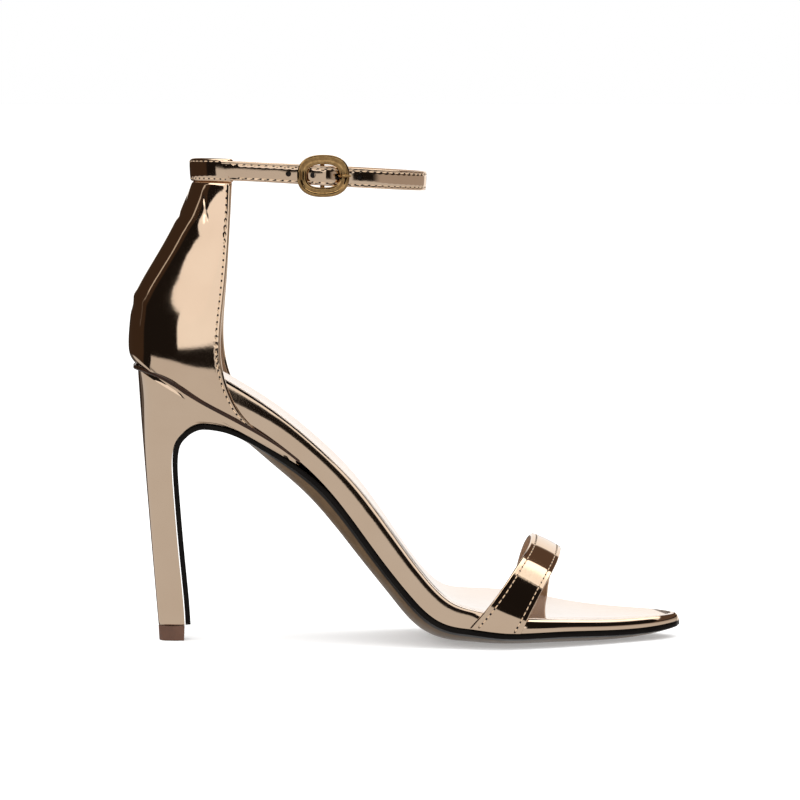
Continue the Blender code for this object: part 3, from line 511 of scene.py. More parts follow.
class Station:
    """One section across the sole at share u of its length."""

    def __init__(self, u):
        nudge = 0.002
        self.u = u
        self.x = SEAT_BACK_X + u * SOLE_LENGTH
        self.z = FOREFOOT_EDGE + SOLE["rise"](u) * INSOLE_RISE
        climb = (SOLE["rise"](u - nudge) - SOLE["rise"](u + nudge)) * INSOLE_RISE
        slope = math.atan2(climb, 2 * nudge * SOLE_LENGTH)
        fade = ease(u * SOLE_LENGTH / LEAN_LENGTH)
        lean = slope * fade + SEAT_LEAN * (1 - fade)
        self.lean_x, self.lean_z = math.sin(lean), math.cos(lean)
        self.wide = SOLE["seat"](u) * SEAT_HALF + SOLE["ball"](u) * BALL_WIDTH / 2
        self.middle = SOLE["axis"](u) * AXIS_OFFSET
        self.tilt = SOLE["tilt"](u) * MEDIAL_HEIGHT
        self.band = SOLE["band"](u) * BAND_THICKNESS
        self.belly = SOLE["belly"](u) * BELLY_DEPTH
        self.reach = min(u, 1 - u) * SOLE_LENGTH

    def half(self, inset):
        back = rounded_end(self.u * SOLE_LENGTH - inset, HEEL_ROUND_RADIUS - inset, HEEL_FULLNESS)
        tip = rounded_end((1 - self.u) * SOLE_LENGTH - inset, TOE_ROUND_RADIUS - inset, TOE_FULLNESS)
        return np.maximum(self.wide - inset, 0) * back * tip

    def at(self, s, inset, depth, bulge=0.0, floor=0.0):
        """Points at shares s across, insets from the outline and depths below the sock."""
        s, inset, depth = np.broadcast_arrays(s, inset, depth)
        lift = self.tilt * (s + 1) / 2 - depth - bulge * crown(s)
        x = self.x + self.lean_x * lift
        z = np.maximum(self.z + self.lean_z * lift, floor)
        return np.stack([x, self.middle + s * self.half(inset), z], axis=-1)


def sole_stations(start, back_count, middle_count, tip_count, inset=0.0):
    back = inset + (HEEL_ROUND_RADIUS - inset) * (1 - np.cos(np.linspace(0.03, math.pi / 2, back_count)))
    tip = inset + (TOE_ROUND_RADIUS - inset) * (1 - np.cos(np.linspace(math.pi / 2, 0.03, tip_count)))
    run = np.linspace(back[-1] / SOLE_LENGTH, 1 - tip[0] / SOLE_LENGTH, middle_count)
    shares = np.concatenate([back[:-1] / SOLE_LENGTH, run, 1 - tip[1:] / SOLE_LENGTH])
    return shares[shares > start]


ACROSS = np.sin(np.linspace(-math.pi / 2, math.pi / 2, 31))


def slab_ring(station, top, bottom, top_bulge, under_bulge, top_floor, under_floor):
    """A ring round a slab: its top, its medial edge, its underside, its lateral edge.

    top and bottom are the edge's profile, as insets and depths, from the inside of the
    top out to the side, and from the side in to the underside.
    """
    top_inset, top_depth = top.T
    low_inset, low_depth = bottom.T
    near = np.minimum(top_inset, station.reach)
    top_depth = np.interp(near, top_inset[::-1], top_depth[::-1])
    near = np.minimum(low_inset, station.reach)
    low_depth = np.interp(near, low_inset, low_depth)
    inset = np.concatenate([top_inset[1:], low_inset[:-1]])
    depth = np.concatenate([top_depth[1:], low_depth[:-1]])
    floor = np.concatenate([np.full(len(top_inset) - 1, top_floor), np.full(len(low_inset) - 1, under_floor)])
    return np.concatenate([
        station.at(ACROSS, top_inset[0], top_depth[0], top_bulge, top_floor),
        station.at(1.0, inset, depth, 0.0, floor),
        station.at(ACROSS[::-1], low_inset[-1], low_depth[-1], under_bulge, under_floor),
        station.at(-1.0, inset[::-1], depth[::-1], 0.0, floor[::-1]),
    ])


BOARD_TOP = smooth_line(np.array([
    (2.6, 1.20), (2.3, 0.85), (2.05, 0.58), (1.85, 0.47), (1.65, 0.55), (1.34, 1.00),
    (1.05, 1.70), (0.80, 2.55), (0.60, 3.40), (0.43, 4.50), (0.28, 6.00), (0.13, 7.50),
]) / 1000, 30)
BOARD_LOW = smooth_line(np.array([
    (0.02, -0.80), (0.08, -0.45), (0.25, -0.2), (0.6, -0.06), (1.05, 0.0),
]) / 1000, 9)
FULL_BAND = 0.0085


# How high the board's side looks for its reflection, by the share of its height down
# from the top: along the arch, and at the forefoot
STRIPE_SHARES = (0.0, 0.035, 0.06, 0.10, 0.36, 0.43, 1.0)
ARCH_RISES = (60, 30, 12, 3.0, -4.3, -12, -20)
TOE_SHARES = (0.0, 0.05, 0.09, 0.15, 0.20, 0.60, 0.68, 1.0)
TOE_RISES = (52, 60, 80, 80, 50, 14, -12, -18)
VIEW_FALL = 4
FOREFOOT_SHARE, FOREFOOT_BLEND = 0.60, 0.09
SEAT_SHARE, SEAT_BLEND, SEAT_STRETCH = 0.16, 0.14, 0.5


def board_normals(rings, us, shares):
    """Normals that lean by height alone, so that each stripe keeps its place on the side."""
    normals = np.zeros_like(rings)
    side = shares.shape[1]
    for start, way in ((len(ACROSS), 1), (2 * len(ACROSS) + side, -1)):
        run = unit(np.gradient(rings[:, start + side // 2, :2], axis=0))
        out = np.stack([-run[:, 1], run[:, 0]], axis=1) * way
        for i, u in enumerate(us):
            front = ease((u - FOREFOOT_SHARE) / FOREFOOT_BLEND)
            share = shares[i, ::way] / (1 + SEAT_STRETCH * (1 - ease((u - SEAT_SHARE) / SEAT_BLEND)))
            rise = np.interp(share, STRIPE_SHARES, ARCH_RISES) * (1 - front)
            rise = rise + np.interp(share, TOE_SHARES, TOE_RISES) * front
            lean = np.radians((rise + VIEW_FALL) / 2)
            normals[i, start : start + side, :2] = out[i] * np.cos(lean)[:, None]
            normals[i, start : start + side, 2] = np.sin(lean)
    return normals


def make_board():
    rings, shares, us = [], [], sole_stations(0, 36, 190, 36)
    for u in us:
        station = Station(u)
        share = min(1.0, station.band / FULL_BAND)
        top = BOARD_TOP * (1.0, share)
        low = BOARD_LOW * (1.0, share) + (0.0, station.band)
        rings.append(slab_ring(station, top, low, FOOTBED_DEPTH, station.belly, 0.0, OUTSOLE_THICKNESS))
        depth = np.concatenate([top[1:, 1], low[:-1, 1]])
        shares.append(np.clip((depth - top[:, 1].min()) / (station.band - top[:, 1].min()), 0, 1))
    rings = np.array(rings)
    normals = board_normals(rings, us, np.array(shares))
    add_loft("wrapped_board", rings, ["wrap"], "mirror_sole", ["midsole"], normals=normals)


SOCK_TOP = np.array([(3.2, 0.0), (2.5, 0.01), (2.15, 0.06), (1.95, 0.17), (1.84, 0.34), (1.8, 0.55)]) / 1000
SOCK_LOW = np.array([(1.8, 0.9), (1.9, 1.15), (2.2, 1.2)]) / 1000


def make_sock():
    rings = []
    for u in sole_stations(0, 36, 190, 36, SOCK_EDGE):
        rings.append(slab_ring(Station(u), SOCK_TOP, SOCK_LOW, FOOTBED_DEPTH, FOOTBED_DEPTH, 0.0, 0.0))
    add_loft("footbed_sock", np.array(rings), ["sock"], "footbed", ["insole"])


def seat_share(x):
    low, high = 0.0, 0.6
    for _ in range(40):
        middle = (low + high) / 2
        station = Station(middle)
        if station.at(-1.0, 0.0, station.band)[0] < x:
            low = middle
        else:
            high = middle
    return low


def seat_edge(t, reach):
    station = Station(reach * (1 - math.cos(abs(t) * math.pi / 2)))
    return station.at(math.copysign(1, t), 0.0, station.band)


def seat_point(t, reach, offset):
    """The seat line at t, from -1 lateral over 0 at the back to 1 medial, pushed out."""
    nudge = 0.004
    here, ahead, behind = seat_edge(t, reach), seat_edge(t + nudge, reach), seat_edge(t - nudge, reach)
    if abs(t) < nudge:
        ahead, behind = seat_edge(nudge, reach), seat_edge(-nudge, reach)
        here = (ahead + behind) / 2
    run = unit((ahead - behind)[:2])
    return np.array((here[0] - run[1] * offset, here[1] + run[0] * offset, here[2]))


def seat_outer_back():
    station = Station(0)
    return station.at(0.0, 0.0, station.band)[0] - CLEARANCE - COUNTER_WALL


BACK_X = seat_outer_back()
WING_REACH = seat_share(BACK_X + WING_LENGTH)
COUNTER_REACH = seat_share(BACK_X + COUNTER_DEPTH)


def wing_offset(u):
    station = Station(u)
    full, tip = BACK_X + COUNTER_DEPTH * WING_FULL_SHARE, BACK_X + WING_LENGTH
    x = station.at(-1.0, 0.0, station.band)[0]
    return (CLEARANCE + COUNTER_WALL) * (1 - ease((x - full) / (tip - full)))


# The heel

HEEL_RINGS = 130
SEAT_STEPS = 44
BREAST = np.sin(np.linspace(-math.pi / 2, math.pi / 2, 25))


def heel_back_x(z):
    drop = max((HEEL_HEIGHT - z) / (HEEL_HEIGHT - TOP_LIFT_HEIGHT), 0.0)
    return BACK_X + HEEL_RAKE_DEPTH * drop**1.1


def heel_rows():
    key = list(range(len(HEEL_ROWS)))
    columns = {c: spline(key, [row[i] for row in HEEL_ROWS]) for i, c in enumerate(HEEL_COLUMNS)}
    places = np.linspace(0, len(HEEL_ROWS) - 1, HEEL_RINGS)
    return [read_row(columns, at) for at in places]


def breast_line(rows):
    line = np.array([(BACK_X + r["forward"] * WING_LENGTH, r["front"] * HEEL_HEIGHT) for r in rows])
    run = unit(np.gradient(line, axis=0))
    return line, np.stack([run[:, 1], -run[:, 0]], axis=1)


def heel_outline():
    shares = np.linspace(0, 1, SEAT_STEPS + 1)
    us = [WING_REACH * (1 - math.cos(t * math.pi / 2)) for t in shares]
    lateral = [seat_point(-t, WING_REACH, wing_offset(u)) for t, u in zip(shares, us)]
    medial = [seat_point(t, WING_REACH, wing_offset(u)) for t, u in zip(shares, us)]
    return us, np.array(lateral), np.array(medial)


def heel_ring(row, front, out, seat_ratios):
    back_z = row["back"] * HEEL_HEIGHT
    back_x = heel_back_x(back_z)
    a = 1 - np.cos(np.arange(SEAT_STEPS + 1) / SEAT_STEPS * math.pi / 2)
    column = rounded_end(a, COLUMN_ROUND_SHARE, HEEL_FULLNESS) * (1 - COLUMN_TAPER_SHARE * a)
    ratio = column + (seat_ratios - column) * ease(row["outline"])
    x, z = back_x + (front[0] - back_x) * a, back_z + (front[1] - back_z) * a
    half = row["half"] * OUTER_HALF * ratio
    push = row["belly"] * BELLY_DEPTH * crown(BREAST[::-1])
    breast_y = AXIS_OFFSET + BREAST[::-1] * half[-1]
    face = np.stack([x[-1] + out[0] * push, breast_y, z[-1] + out[1] * push], axis=1)
    medial = np.stack([x, AXIS_OFFSET + half, z], axis=1)[:-1]
    lateral = np.stack([x, AXIS_OFFSET - half, z], axis=1)[-2:0:-1]
    return np.concatenate([medial, face, lateral])


def heel_top_row(u, left, right):
    station = Station(u)
    share = ((BREAST + 1) / 2)[:, None]
    push = (station.belly * crown(BREAST))[:, None]
    row = left + (right - left) * share - push * (station.lean_x, 0, station.lean_z)
    return row - (0, 0, CLEARANCE)


def heel_normals(rings, count):
    """Level normals on the heel's sides, so that the flare to the seat reflects evenly."""
    around = np.roll(rings, -1, axis=1) - np.roll(rings, 1, axis=1)
    skin = np.cross(around, np.gradient(rings, axis=0))
    skin *= np.sign((skin[:, :, 1] * (rings[:, :, 1] - AXIS_OFFSET)))[..., None]
    skin[:, :, 2] = 0
    sides = np.ones(rings.shape[1], bool)
    sides[SEAT_STEPS - 2 : SEAT_STEPS + len(BREAST) + 2] = False
    sides[:2] = sides[-2:] = False
    normals = np.zeros((count, 3))
    level = np.zeros_like(rings)
    level[2 : HEEL_RINGS - 1, sides] = unit(skin)[2 : HEEL_RINGS - 1, sides]
    normals[: rings.shape[0] * rings.shape[1]] = level.reshape(-1, 3)
    return normals


def make_heel():
    """The heel's column and wing, its upper edge rolled in to the board's underside."""
    us, lateral, medial = heel_outline()
    widths = medial[:, 1] - lateral[:, 1]
    rows = heel_rows()
    line, outward = breast_line(rows)
    rings = [heel_ring(row, *place, widths / widths.max()) for row, *place in zip(rows, line, outward)]
    top = [heel_top_row(u, left, right) for u, left, right in zip(us, lateral, medial)]
    down = np.array((0, 0, -CLEARANCE))
    rim = np.concatenate([medial[:-1] + down, top[-1][::-1], lateral[-2:0:-1] + down])
    middle = np.array((rim[:, 0].mean(), AXIS_OFFSET, 0))
    inward = unit((middle - rim) * (0.35, 1, 0))
    tall = np.linalg.norm(rings[-1] - rim, axis=1, keepdims=True)
    roll = np.minimum(HEEL_ROLL, tall * 0.45)
    for angle in np.linspace(0, math.pi / 2, 5):
        fall = (rings[HEEL_RINGS - 1] - rim) / np.maximum(tall, 1e-9) * roll * (1 - math.sin(angle))
        rings.append(rim + fall + inward * roll * 0.8 * (1 - math.cos(angle)))
    rings = np.array(rings)
    rows_count, columns = rings.shape[:2]
    faces = grid_faces(rows_count, columns, True).tolist()
    faces.append(list(range(columns)))
    start = rows_count * columns
    grid = np.array([[rim[0]] * len(BREAST)] + top[1:])
    faces += (grid_faces(len(grid), len(BREAST), False) + start).tolist()
    last = (rows_count - 1) * columns
    points = np.concatenate([rings.reshape(-1, 3), grid.reshape(-1, 3)])
    edge = [start + i * len(BREAST) + len(BREAST) - 1 for i in range(len(grid) - 1)]
    edge += [start + (len(grid) - 1) * len(BREAST) + j for j in range(len(BREAST) - 1, 0, -1)]
    edge += [start + i * len(BREAST) for i in range(len(grid) - 1, 0, -1)]
    for j in range(columns):
        k = (j + 1) % columns
        faces.append([last + j, last + k, edge[k], edge[j]])
    add_piece("heel_body", points, faces, ["body"], "mirror_sole", ["heel"], sharp=40,
              normals=heel_normals(rings, len(points)))
    make_tread(rings[0])


def make_tread(foot):
    """The top lift, its outline the heel's own foot, with both its edges chamfered."""
    middle = np.array((foot[:, 0].mean(), AXIS_OFFSET, 0))
    top = foot[:, 2].min() - CLEARANCE
    away = unit((foot - middle) * (1, 1, 0))
    rings = []
    foot_edge = ((0.0, -0.0007), (0.00012, -0.0004), (0.0004, -TOP_LIFT_DRAFT))
    for z, grow in (*foot_edge, (top - 0.0002, 0.0), (top, -0.0002)):
        ring = foot + away * grow
        ring[:, 2] = z
        rings.append(ring)
    add_loft("heel_tread", np.array(rings), ["lift"], "top_lift", ["top_lift"], sharp=35)


class BreastRow:
    """One section of the sole sheet along the heel, with the same calls as a Station."""

    reach = 1.0

    def __init__(self, row, front, out, ratio):
        self.front, self.out = front, out
        self.half = row["half"] * OUTER_HALF * ratio - CLEARANCE
        self.belly = row["belly"] * BELLY_DEPTH

    def at(self, s, inset, depth, bulge=0.0, floor=0.0):
        s, inset, depth = np.broadcast_arrays(s, inset, depth)
        away = depth + bulge * crown(s)
        y = AXIS_OFFSET + s * (self.half - inset)
        return np.stack([self.front[0] + self.out[0] * away, y, self.front[1] + self.out[1] * away], axis=-1)


SHEET_TOP = np.array([(0.9, 0.0), (0.62, 0.03), (0.5, 0.16)]) / 1000
SHEET_LOW = np.array([(0.5, 1.35), (0.56, 1.62), (0.75, 1.82), (1.0, 1.88), (1.4, 1.9)]) / 1000
PAINTED_SHARE = 0.93

# How many sections round the flap's start are smoothed, and how often
JOIN_RINGS = 22
JOIN_PASSES = 70


def make_sole_sheet():
    """Forefoot, arch and the flap down the heel's breast, with black painted edges."""
    rings = []
    for u in sole_stations(WING_REACH + WING_JOIN_SHARE, 10, 210, 34)[::-1]:
        station = Station(u)
        start = np.array((0.0, station.band + CLEARANCE))
        rings.append(slab_ring(station, SHEET_TOP + start, SHEET_LOW + start, station.belly,
                               station.belly, OUTSOLE_THICKNESS, 0.0))
    rows = heel_rows()
    line, outward = breast_line(rows)
    _, lateral, medial = heel_outline()
    widths = medial[:, 1] - lateral[:, 1]
    wing_ratio, column_ratio = widths[-1] / widths.max(), 1 - COLUMN_TAPER_SHARE
    start = np.array((-0.0005, CLEARANCE))
    top, low = SHEET_TOP + start, SHEET_LOW + start
    for row, front, out in list(zip(rows, line, outward))[::-1]:
        ratio = column_ratio + (wing_ratio - column_ratio) * ease(row["outline"])
        breast = BreastRow(row, front, out, ratio)
        rings.append(slab_ring(breast, top, low, breast.belly, breast.belly, -1.0, -1.0))
    rings = np.array(rings)
    flap = len(rings) - HEEL_RINGS
    for _ in range(JOIN_PASSES):
        near = rings[flap - JOIN_RINGS - 1 : flap + JOIN_RINGS + 1]
        rings[flap - JOIN_RINGS : flap + JOIN_RINGS] = near[:-2] / 4 + near[1:-1] / 2 + near[2:] / 4
    side = len(SHEET_TOP) + len(SHEET_LOW) - 2
    columns = np.ones(rings.shape[1], int)
    columns[len(ACROSS) - 1 : len(ACROSS) + side] = 0
    columns[-side - 1 :] = 0
    columns[: len(ACROSS) - 1] = 0
    under = len(ACROSS) + side
    between = (ACROSS[::-1][:-1] + ACROSS[::-1][1:]) / 2
    columns[under : under + len(between)] = np.abs(between) < PAINTED_SHARE
    add_loft("sole_sheet", rings, ["edge", "under"], "sole_leather", ["outsole"], columns)


# The ankle loop


def loop_point(angle, offset):
    """The ankle loop in plan: angle 0 at the front, pi/2 lateral, pi at the back."""
    angle = np.asarray(angle, float)
    middle = (LOOP_BACK_X + LOOP_FRONT_X) / 2
    long, wide = (LOOP_FRONT_X - LOOP_BACK_X) / 2, LOOP_WIDTH / 2
    x, y = long * np.cos(angle), -wide * np.sin(angle)
    out = unit(np.stack([x / long**2, y / wide**2], axis=-1))
    place = np.stack([middle + x, AXIS_OFFSET + y], axis=-1)
    return place + out * np.asarray(offset, float)[..., None], out


def loop_angle(x, lateral=True):
    middle = (LOOP_BACK_X + LOOP_FRONT_X) / 2
    angle = math.acos(np.clip((x - middle) / (LOOP_FRONT_X - middle), -1, 1))
    return angle if lateral else 2 * math.pi - angle


def loop_height(angle):
    back = (1 - np.cos(angle)) / 2
    lift = STRAP_LATERAL_HEIGHT * np.maximum(np.sin(angle), 0) * back
    over_seat = STRAP_FRONT_HEIGHT + (STRAP_BACK_HEIGHT - STRAP_FRONT_HEIGHT) * back
    return HEEL_HEIGHT + over_seat + lift


def turn_per_metre(angle):
    nudge = 0.01
    step = loop_point(angle + nudge, 0)[0] - loop_point(angle, 0)[0]
    return nudge / np.linalg.norm(step)


def over_bar(distance):
    return OVER_BAR * (1 - ease(np.abs(distance) / SETTLE_LENGTH))


# The free end starts to lift over the tail this many tail lengths before the bar, and
# the fold wraps the bar by this many degrees to each side
JOIN_TAILS = 3.2
BAR_SWING = 70


def strap_stations():
    """Angles and offsets along the strap, from its folded tail to its free tip."""
    bar = loop_angle(BUCKLE_X)
    rate = turn_per_metre(bar)
    lap = 2 * math.pi + bar
    mouth = 2 * math.pi + loop_angle(TUNNEL_FRONT_X)
    join_start, join_end = lap - JOIN_TAILS * TAIL_LENGTH * rate, lap - TAIL_LENGTH * rate
    away = np.linspace(TAIL_LENGTH, OVER_BAR * 0.4, 60)
    parts = [(bar + away * rate, -OVER_BAR + (OVER_BAR - LAYER) * ease(away / SETTLE_LENGTH))]
    swing = np.radians(np.linspace(-BAR_SWING, BAR_SWING, 40))
    parts.append((bar - OVER_BAR * np.cos(swing) * rate, OVER_BAR * np.sin(swing)))
    away = np.linspace(OVER_BAR * 0.4, TAIL_LENGTH, 60)
    parts.append((bar + away * rate, over_bar(away)))
    angle = np.linspace(bar + TAIL_LENGTH * rate, join_end, 700)[1:]
    parts.append((angle, LAYER * ease((angle - join_start) / (join_end - join_start))))
    away = np.linspace(-TAIL_LENGTH, TAIL_LENGTH, 120)[1:]
    parts.append((lap + away * rate, LAYER + over_bar(away)))
    angle = np.linspace(lap + TAIL_LENGTH * rate, mouth + TIP_LAP_LENGTH * rate, 80)[1:]
    rise = ease((angle - mouth + TAIL_LENGTH * rate) / (0.8 * TAIL_LENGTH * rate))
    parts.append((angle, LAYER + (TIP_OFFSET - LAYER) * rise))
    return np.concatenate([p[0] for p in parts]), np.concatenate([p[1] for p in parts])


class Ribbon:
    """A strap's middle line at even steps, with what points outwards and its height."""

    def __init__(self, angles, offsets):
        place, _ = loop_point(angles, offsets)
        line = np.column_stack([place, loop_height(angles)])
        run = run_of(line)
        keep = np.concatenate([[True], np.diff(run) > 1e-9])
        self.length = run[-1]
        self.along = np.linspace(0, self.length, int(self.length / STEP))
        line = read_line(self.along, run[keep], line[keep])
        reach = 3 * BLUR
        kernel = bell(np.arange(-reach, reach + 1) / BLUR)
        kernel /= kernel.sum()
        ends = np.pad(line, ((reach, reach), (0, 0)), mode="reflect", reflect_type="odd")
        self.line = np.stack([np.convolve(column, kernel, "valid") for column in ends.T], axis=1)
        run = unit(np.gradient(self.line, axis=0)[:, :2])
        self.out = np.stack([-run[:, 1], run[:, 0]], axis=1)

    def at(self, along, out, up):
        """A point at a length along the strap, a height off its middle and a rise."""
        along, out, up = np.broadcast_arrays(along, out, up)
        line = read_line(along, self.along, self.line)
        side = unit(read_line(along, self.along, self.out))
        out = out + up * STRAP_LEAN
        return line + np.concatenate([side * out[..., None], up[..., None]], axis=-1)


def needle_dents(along, pitch):
    """1 at each needle mark along a seam, falling to a low level between them."""
    gap = (along / pitch - np.round(along / pitch)) * pitch
    return DENT_REST + (1 - DENT_REST) * bell(gap / DENT_SPREAD)


def strap_section(width, thickness, seam):
    """A rounded strip's section: out and up of each point, and the seam's share there."""
    corner = thickness * 0.36
    flat = np.linspace(-width / 2 + corner, width / 2 - corner, 25)
    swell = STRAP_SWELL * (1 - (2 * flat / width) ** 2)
    bend = np.linspace(0, math.pi / 2, 6)[1:-1]
    turn_out = thickness / 2 - corner + corner * np.cos(bend)
    turn_up = width / 2 - corner + corner * np.sin(bend)
    outs = np.concatenate([thickness / 2 + swell, turn_out, [thickness / 2 - corner], -turn_out[::-1],
                           np.full(9, -thickness / 2), -turn_out, [corner - thickness / 2], turn_out[::-1]])
    ups = np.concatenate([flat, turn_up, [width / 2], turn_up[::-1],
                          np.linspace(width / 2 - corner, -width / 2 + corner, 9),
                          -turn_up, [-width / 2], -turn_up[::-1]])
    mark = bell((np.abs(ups) - (width / 2 - seam)) / STRAP_SEAM_SPREAD)
    mark = np.where(outs > thickness / 2 - 1e-5, mark, 0.0)
    return outs, ups, mark


def make_ankle_strap():
    ribbon = Ribbon(*strap_stations())
    outs, ups, mark = strap_section(STRAP_WIDTH, STRAP_THICKNESS, STRAP_SEAM)
    slant_start = ribbon.length - TIP_SLANT_LENGTH
    rings = []
    for along in ribbon.along:
        slant = TIP_SLANT * ease((along - slant_start) / TIP_SLANT_LENGTH) * (0.5 - ups / STRAP_WIDTH)
        dent = mark * DENT_DEPTH * needle_dents(along - slant, STITCH_PITCH)
        rings.append(ribbon.at(along - slant, outs - dent, ups))
    middle = (outs + np.roll(outs, -1)) / 2
    lined = (middle < -STRAP_THICKNESS * 0.3).astype(int)
    # The third look goes on the walls of the punched holes: near black, painted shade inside them
    looks = ["upper", "lining", "needle"]
    strap = add_loft("ankle_band", np.array(rings), looks, "mirror_upper", ["ankle_strap"], lined)
    cut_holes(strap)
    seams = []
    for side in (-1, 1):
        up = side * (STRAP_WIDTH / 2 - STRAP_SEAM)
        along = np.arange(0.0, ribbon.length - 0.001, STEP)
        slant = TIP_SLANT * ease((along - slant_start) / TIP_SLANT_LENGTH) * (0.5 - up / STRAP_WIDTH)
        line = ribbon.at(along - slant, STRAP_THICKNESS / 2 - SEAM_DEPTH, np.full(len(along), up))
        out = line - ribbon.at(along - slant, 0.0, np.full(len(along), up))
        seams.append((line, unit(out), STITCH_PITCH))
    add_stitches("ankle_strap", seams)


def cut_holes(strap):
    """The punched holes through the free end, the prong's own a little wider."""
    bar = loop_angle(BUCKLE_X)
    rate = turn_per_metre(bar)
    shape = bmesh.new()
    for number in range(-HOLES_BEHIND, HOLES_AHEAD + 1):
        away = PRONG_HOLE_OFFSET + number * HOLE_PITCH
        angle = bar - away * rate
        place, out = loop_point(angle, LAYER + over_bar(away) + STRAP_THICKNESS / 4)
        centre = Vector((*place, float(loop_height(angle)))) + Vector(SHIFT)
        radius = HOLE_DIAMETER / 2 * (PRONG_HOLE_SHARE if number == 0 else 1.0)
        made = bmesh.ops.create_cone(shape, cap_ends=True, segments=28, radius1=radius, radius2=radius,
                                     depth=STRAP_THICKNESS * 1.25)
        rotate = Vector((0, 0, 1)).rotation_difference(Vector((out[0], out[1], 0))).to_matrix()
        bmesh.ops.rotate(shape, verts=made["verts"], matrix=rotate, cent=(0, 0, 0))
        bmesh.ops.translate(shape, verts=made["verts"], vec=centre)
    mesh = bpy.data.meshes.new("hole_cutters")
    shape.to_mesh(mesh)
    shape.free()
    # The cutters' near black look passes to the holes' walls: painted shade inside the holes
    mesh.materials.append(LOOKS["needle"])
    cutter = bpy.data.objects.new("hole_cutters", mesh)
    bpy.context.scene.collection.objects.link(cutter)
    punch = strap.modifiers.new("holes", "BOOLEAN")
    punch.operation = "DIFFERENCE"
    punch.object = cutter
    punch.material_mode = "TRANSFER"
    graph = bpy.context.evaluated_depsgraph_get()
    cut = bpy.data.meshes.new_from_object(strap.evaluated_get(graph))
    strap.modifiers.clear()
    strap.data = cut
    bpy.data.objects.remove(cutter)


# Stitches


def add_stitches(name, seams):
    """Threads between needle marks along each seam: a line, what points out of it, a pitch. The marks are
    near black, painted shade of the needle holes.
    """
    threads, marks = [], []
    for line, out, pitch in seams:
        run = run_of(line)
        count = int(run[-1] / pitch)
        for i in range(count + 1):
            if i < count:
                threads.append(stitch(run, line, out, (i + 0.12) * pitch, (i + 0.88) * pitch))
            marks.append(needle_shade_mark(run, line, out, min(max(i * pitch, NEEDLE_LONG), run[-1] - NEEDLE_LONG)))
    join_bits(name + "_thread", threads, "thread")
    join_bits(name + "_needle_shade", marks, "needle")


def read_seam(run, line, out, at):
    return read_line(at, run, line), unit(read_line(at, run, out))


def stitch(run, line, out, start, stop):
    """One stitch: a thread that comes up, lies flat and goes down again."""
    share = np.linspace(0, 1, 6)
    place, normal = read_seam(run, line, out, start + (stop - start) * share)
    lift = THREAD * (0.42 * np.sin(share * math.pi) ** 0.5 - 0.25)
    place = place + normal * lift[:, None]
    ahead = unit(np.gradient(place, axis=0))
    side = unit(np.cross(ahead, normal))
    turns = np.arange(6) * math.pi / 3
    rings = []
    for p, n, s, t in zip(place, normal, side, share):
        thick = THREAD / 2 * (0.7 + 0.3 * math.sin(t * math.pi))
        rings.append([p + (s * math.cos(a) * 1.15 + n * math.sin(a)) * thick for a in turns])
    rings = np.array(rings)
    return rings.reshape(-1, 3), loft_faces(rings)[0]


def needle_shade_mark(run, line, out, at):
    """A near black low dome where the needle went in, longer along the seam: painted shade of the needle
    hole.
    """
    place, normal = read_seam(run, line, out, [at])
    ahead = read_seam(run, line, out, [at + 1e-4])[0] - read_seam(run, line, out, [at - 1e-4])[0]
    p, n, a = place[0], normal[0], unit(ahead)[0]
    s = unit(np.cross(a, n))
    points = [p + n * 0.00011]
    for ring, rise in ((0.6, 0.00009), (1.0, -0.00012)):
        for k in np.arange(10) * math.pi / 5:
            flat = a * math.cos(k) * NEEDLE_LONG + s * math.sin(k) * NEEDLE_WIDE
            points.append(p + n * rise + flat * ring)
    faces = [[0, 1 + k, 1 + (k + 1) % 10] for k in range(10)]
    faces += [[1 + k, 11 + k, 11 + (k + 1) % 10, 1 + (k + 1) % 10] for k in range(10)]
    faces.append([11 + k for k in range(10)])
    return np.array(points), faces


def join_bits(name, bits, look):
    points, faces, start = [], [], 0
    for bit, bit_faces in bits:
        points.append(bit)
        faces += [[start + i for i in face] for face in bit_faces]
        start += len(bit)
    add_piece(name, np.concatenate(points), faces, [look], "mirror_upper", sharp=70)


# The counter

COUNTER_RINGS = 120
COUNTER_GRID = 61
COUNTER_MIDDLE = 96
EDGE_PLACES = np.array([0, 0.1, 0.25, 0.45, 0.7, 0.95, 1.15, 1.35, 1.5, 1.65, 1.85, 2.1, 2.5, 3.0]) / 1000
EDGE_END = 0.0036
LEAN_FROM, LEAN_BLEND = 0.78, 0.08
NOSE = 0.0008
TUNNEL_LAP = 0.0003
TOP_LEAN = 0.17


def rim_angle(t):
    return math.pi + t * (loop_angle(TUNNEL_FRONT_X, False) - math.pi)


def counter_shape(up, t, offset):
    row = read_row(COUNTER, up)
    angle = abs(t) * math.pi / 2
    tall = loop_height(rim_angle(t)) - TUNNEL_HEIGHT / 2 + TUNNEL_LAP - HEEL_HEIGHT
    back = BACK_X + row["setback"] * tall + offset
    extra = MEDIAL_WING_DEPTH * ease(t) * ease(up / 0.1) * (1 - up)
    front = BACK_X + row["forward"] * COUNTER_DEPTH + extra
    power = 2 / row["fullness"]
    x = front - (front - back) * math.cos(angle) ** power
    y = AXIS_OFFSET + math.copysign((row["half"] * OUTER_HALF - offset) * math.sin(angle) ** power, t)
    share = math.sin(angle) ** 2
    return np.array((x, y, HEEL_HEIGHT + tall * (row["height"] * (1 - share) + row["front"] * share)))


def counter_point(up, t, offset):
    point = counter_shape(up, t, offset)
    if up < COUNTER_FOOT_SHARE:
        foot = seat_point(t, COUNTER_REACH, CLEARANCE + COUNTER_WALL - offset)
        point = point + (foot - counter_shape(0, t, offset)) * (1 - up / COUNTER_FOOT_SHARE) ** 2
    if up > COUNTER_NECK_SHARE:
        place, _ = loop_point(rim_angle(t), COUNTER_WALL / 2 - offset)
        top = counter_shape(1, t, offset)
        rim = np.array((place[0], place[1], top[2]))
        point = point + (rim - top) * ((up - COUNTER_NECK_SHARE) / (1 - COUNTER_NECK_SHARE)) ** 2
    return point


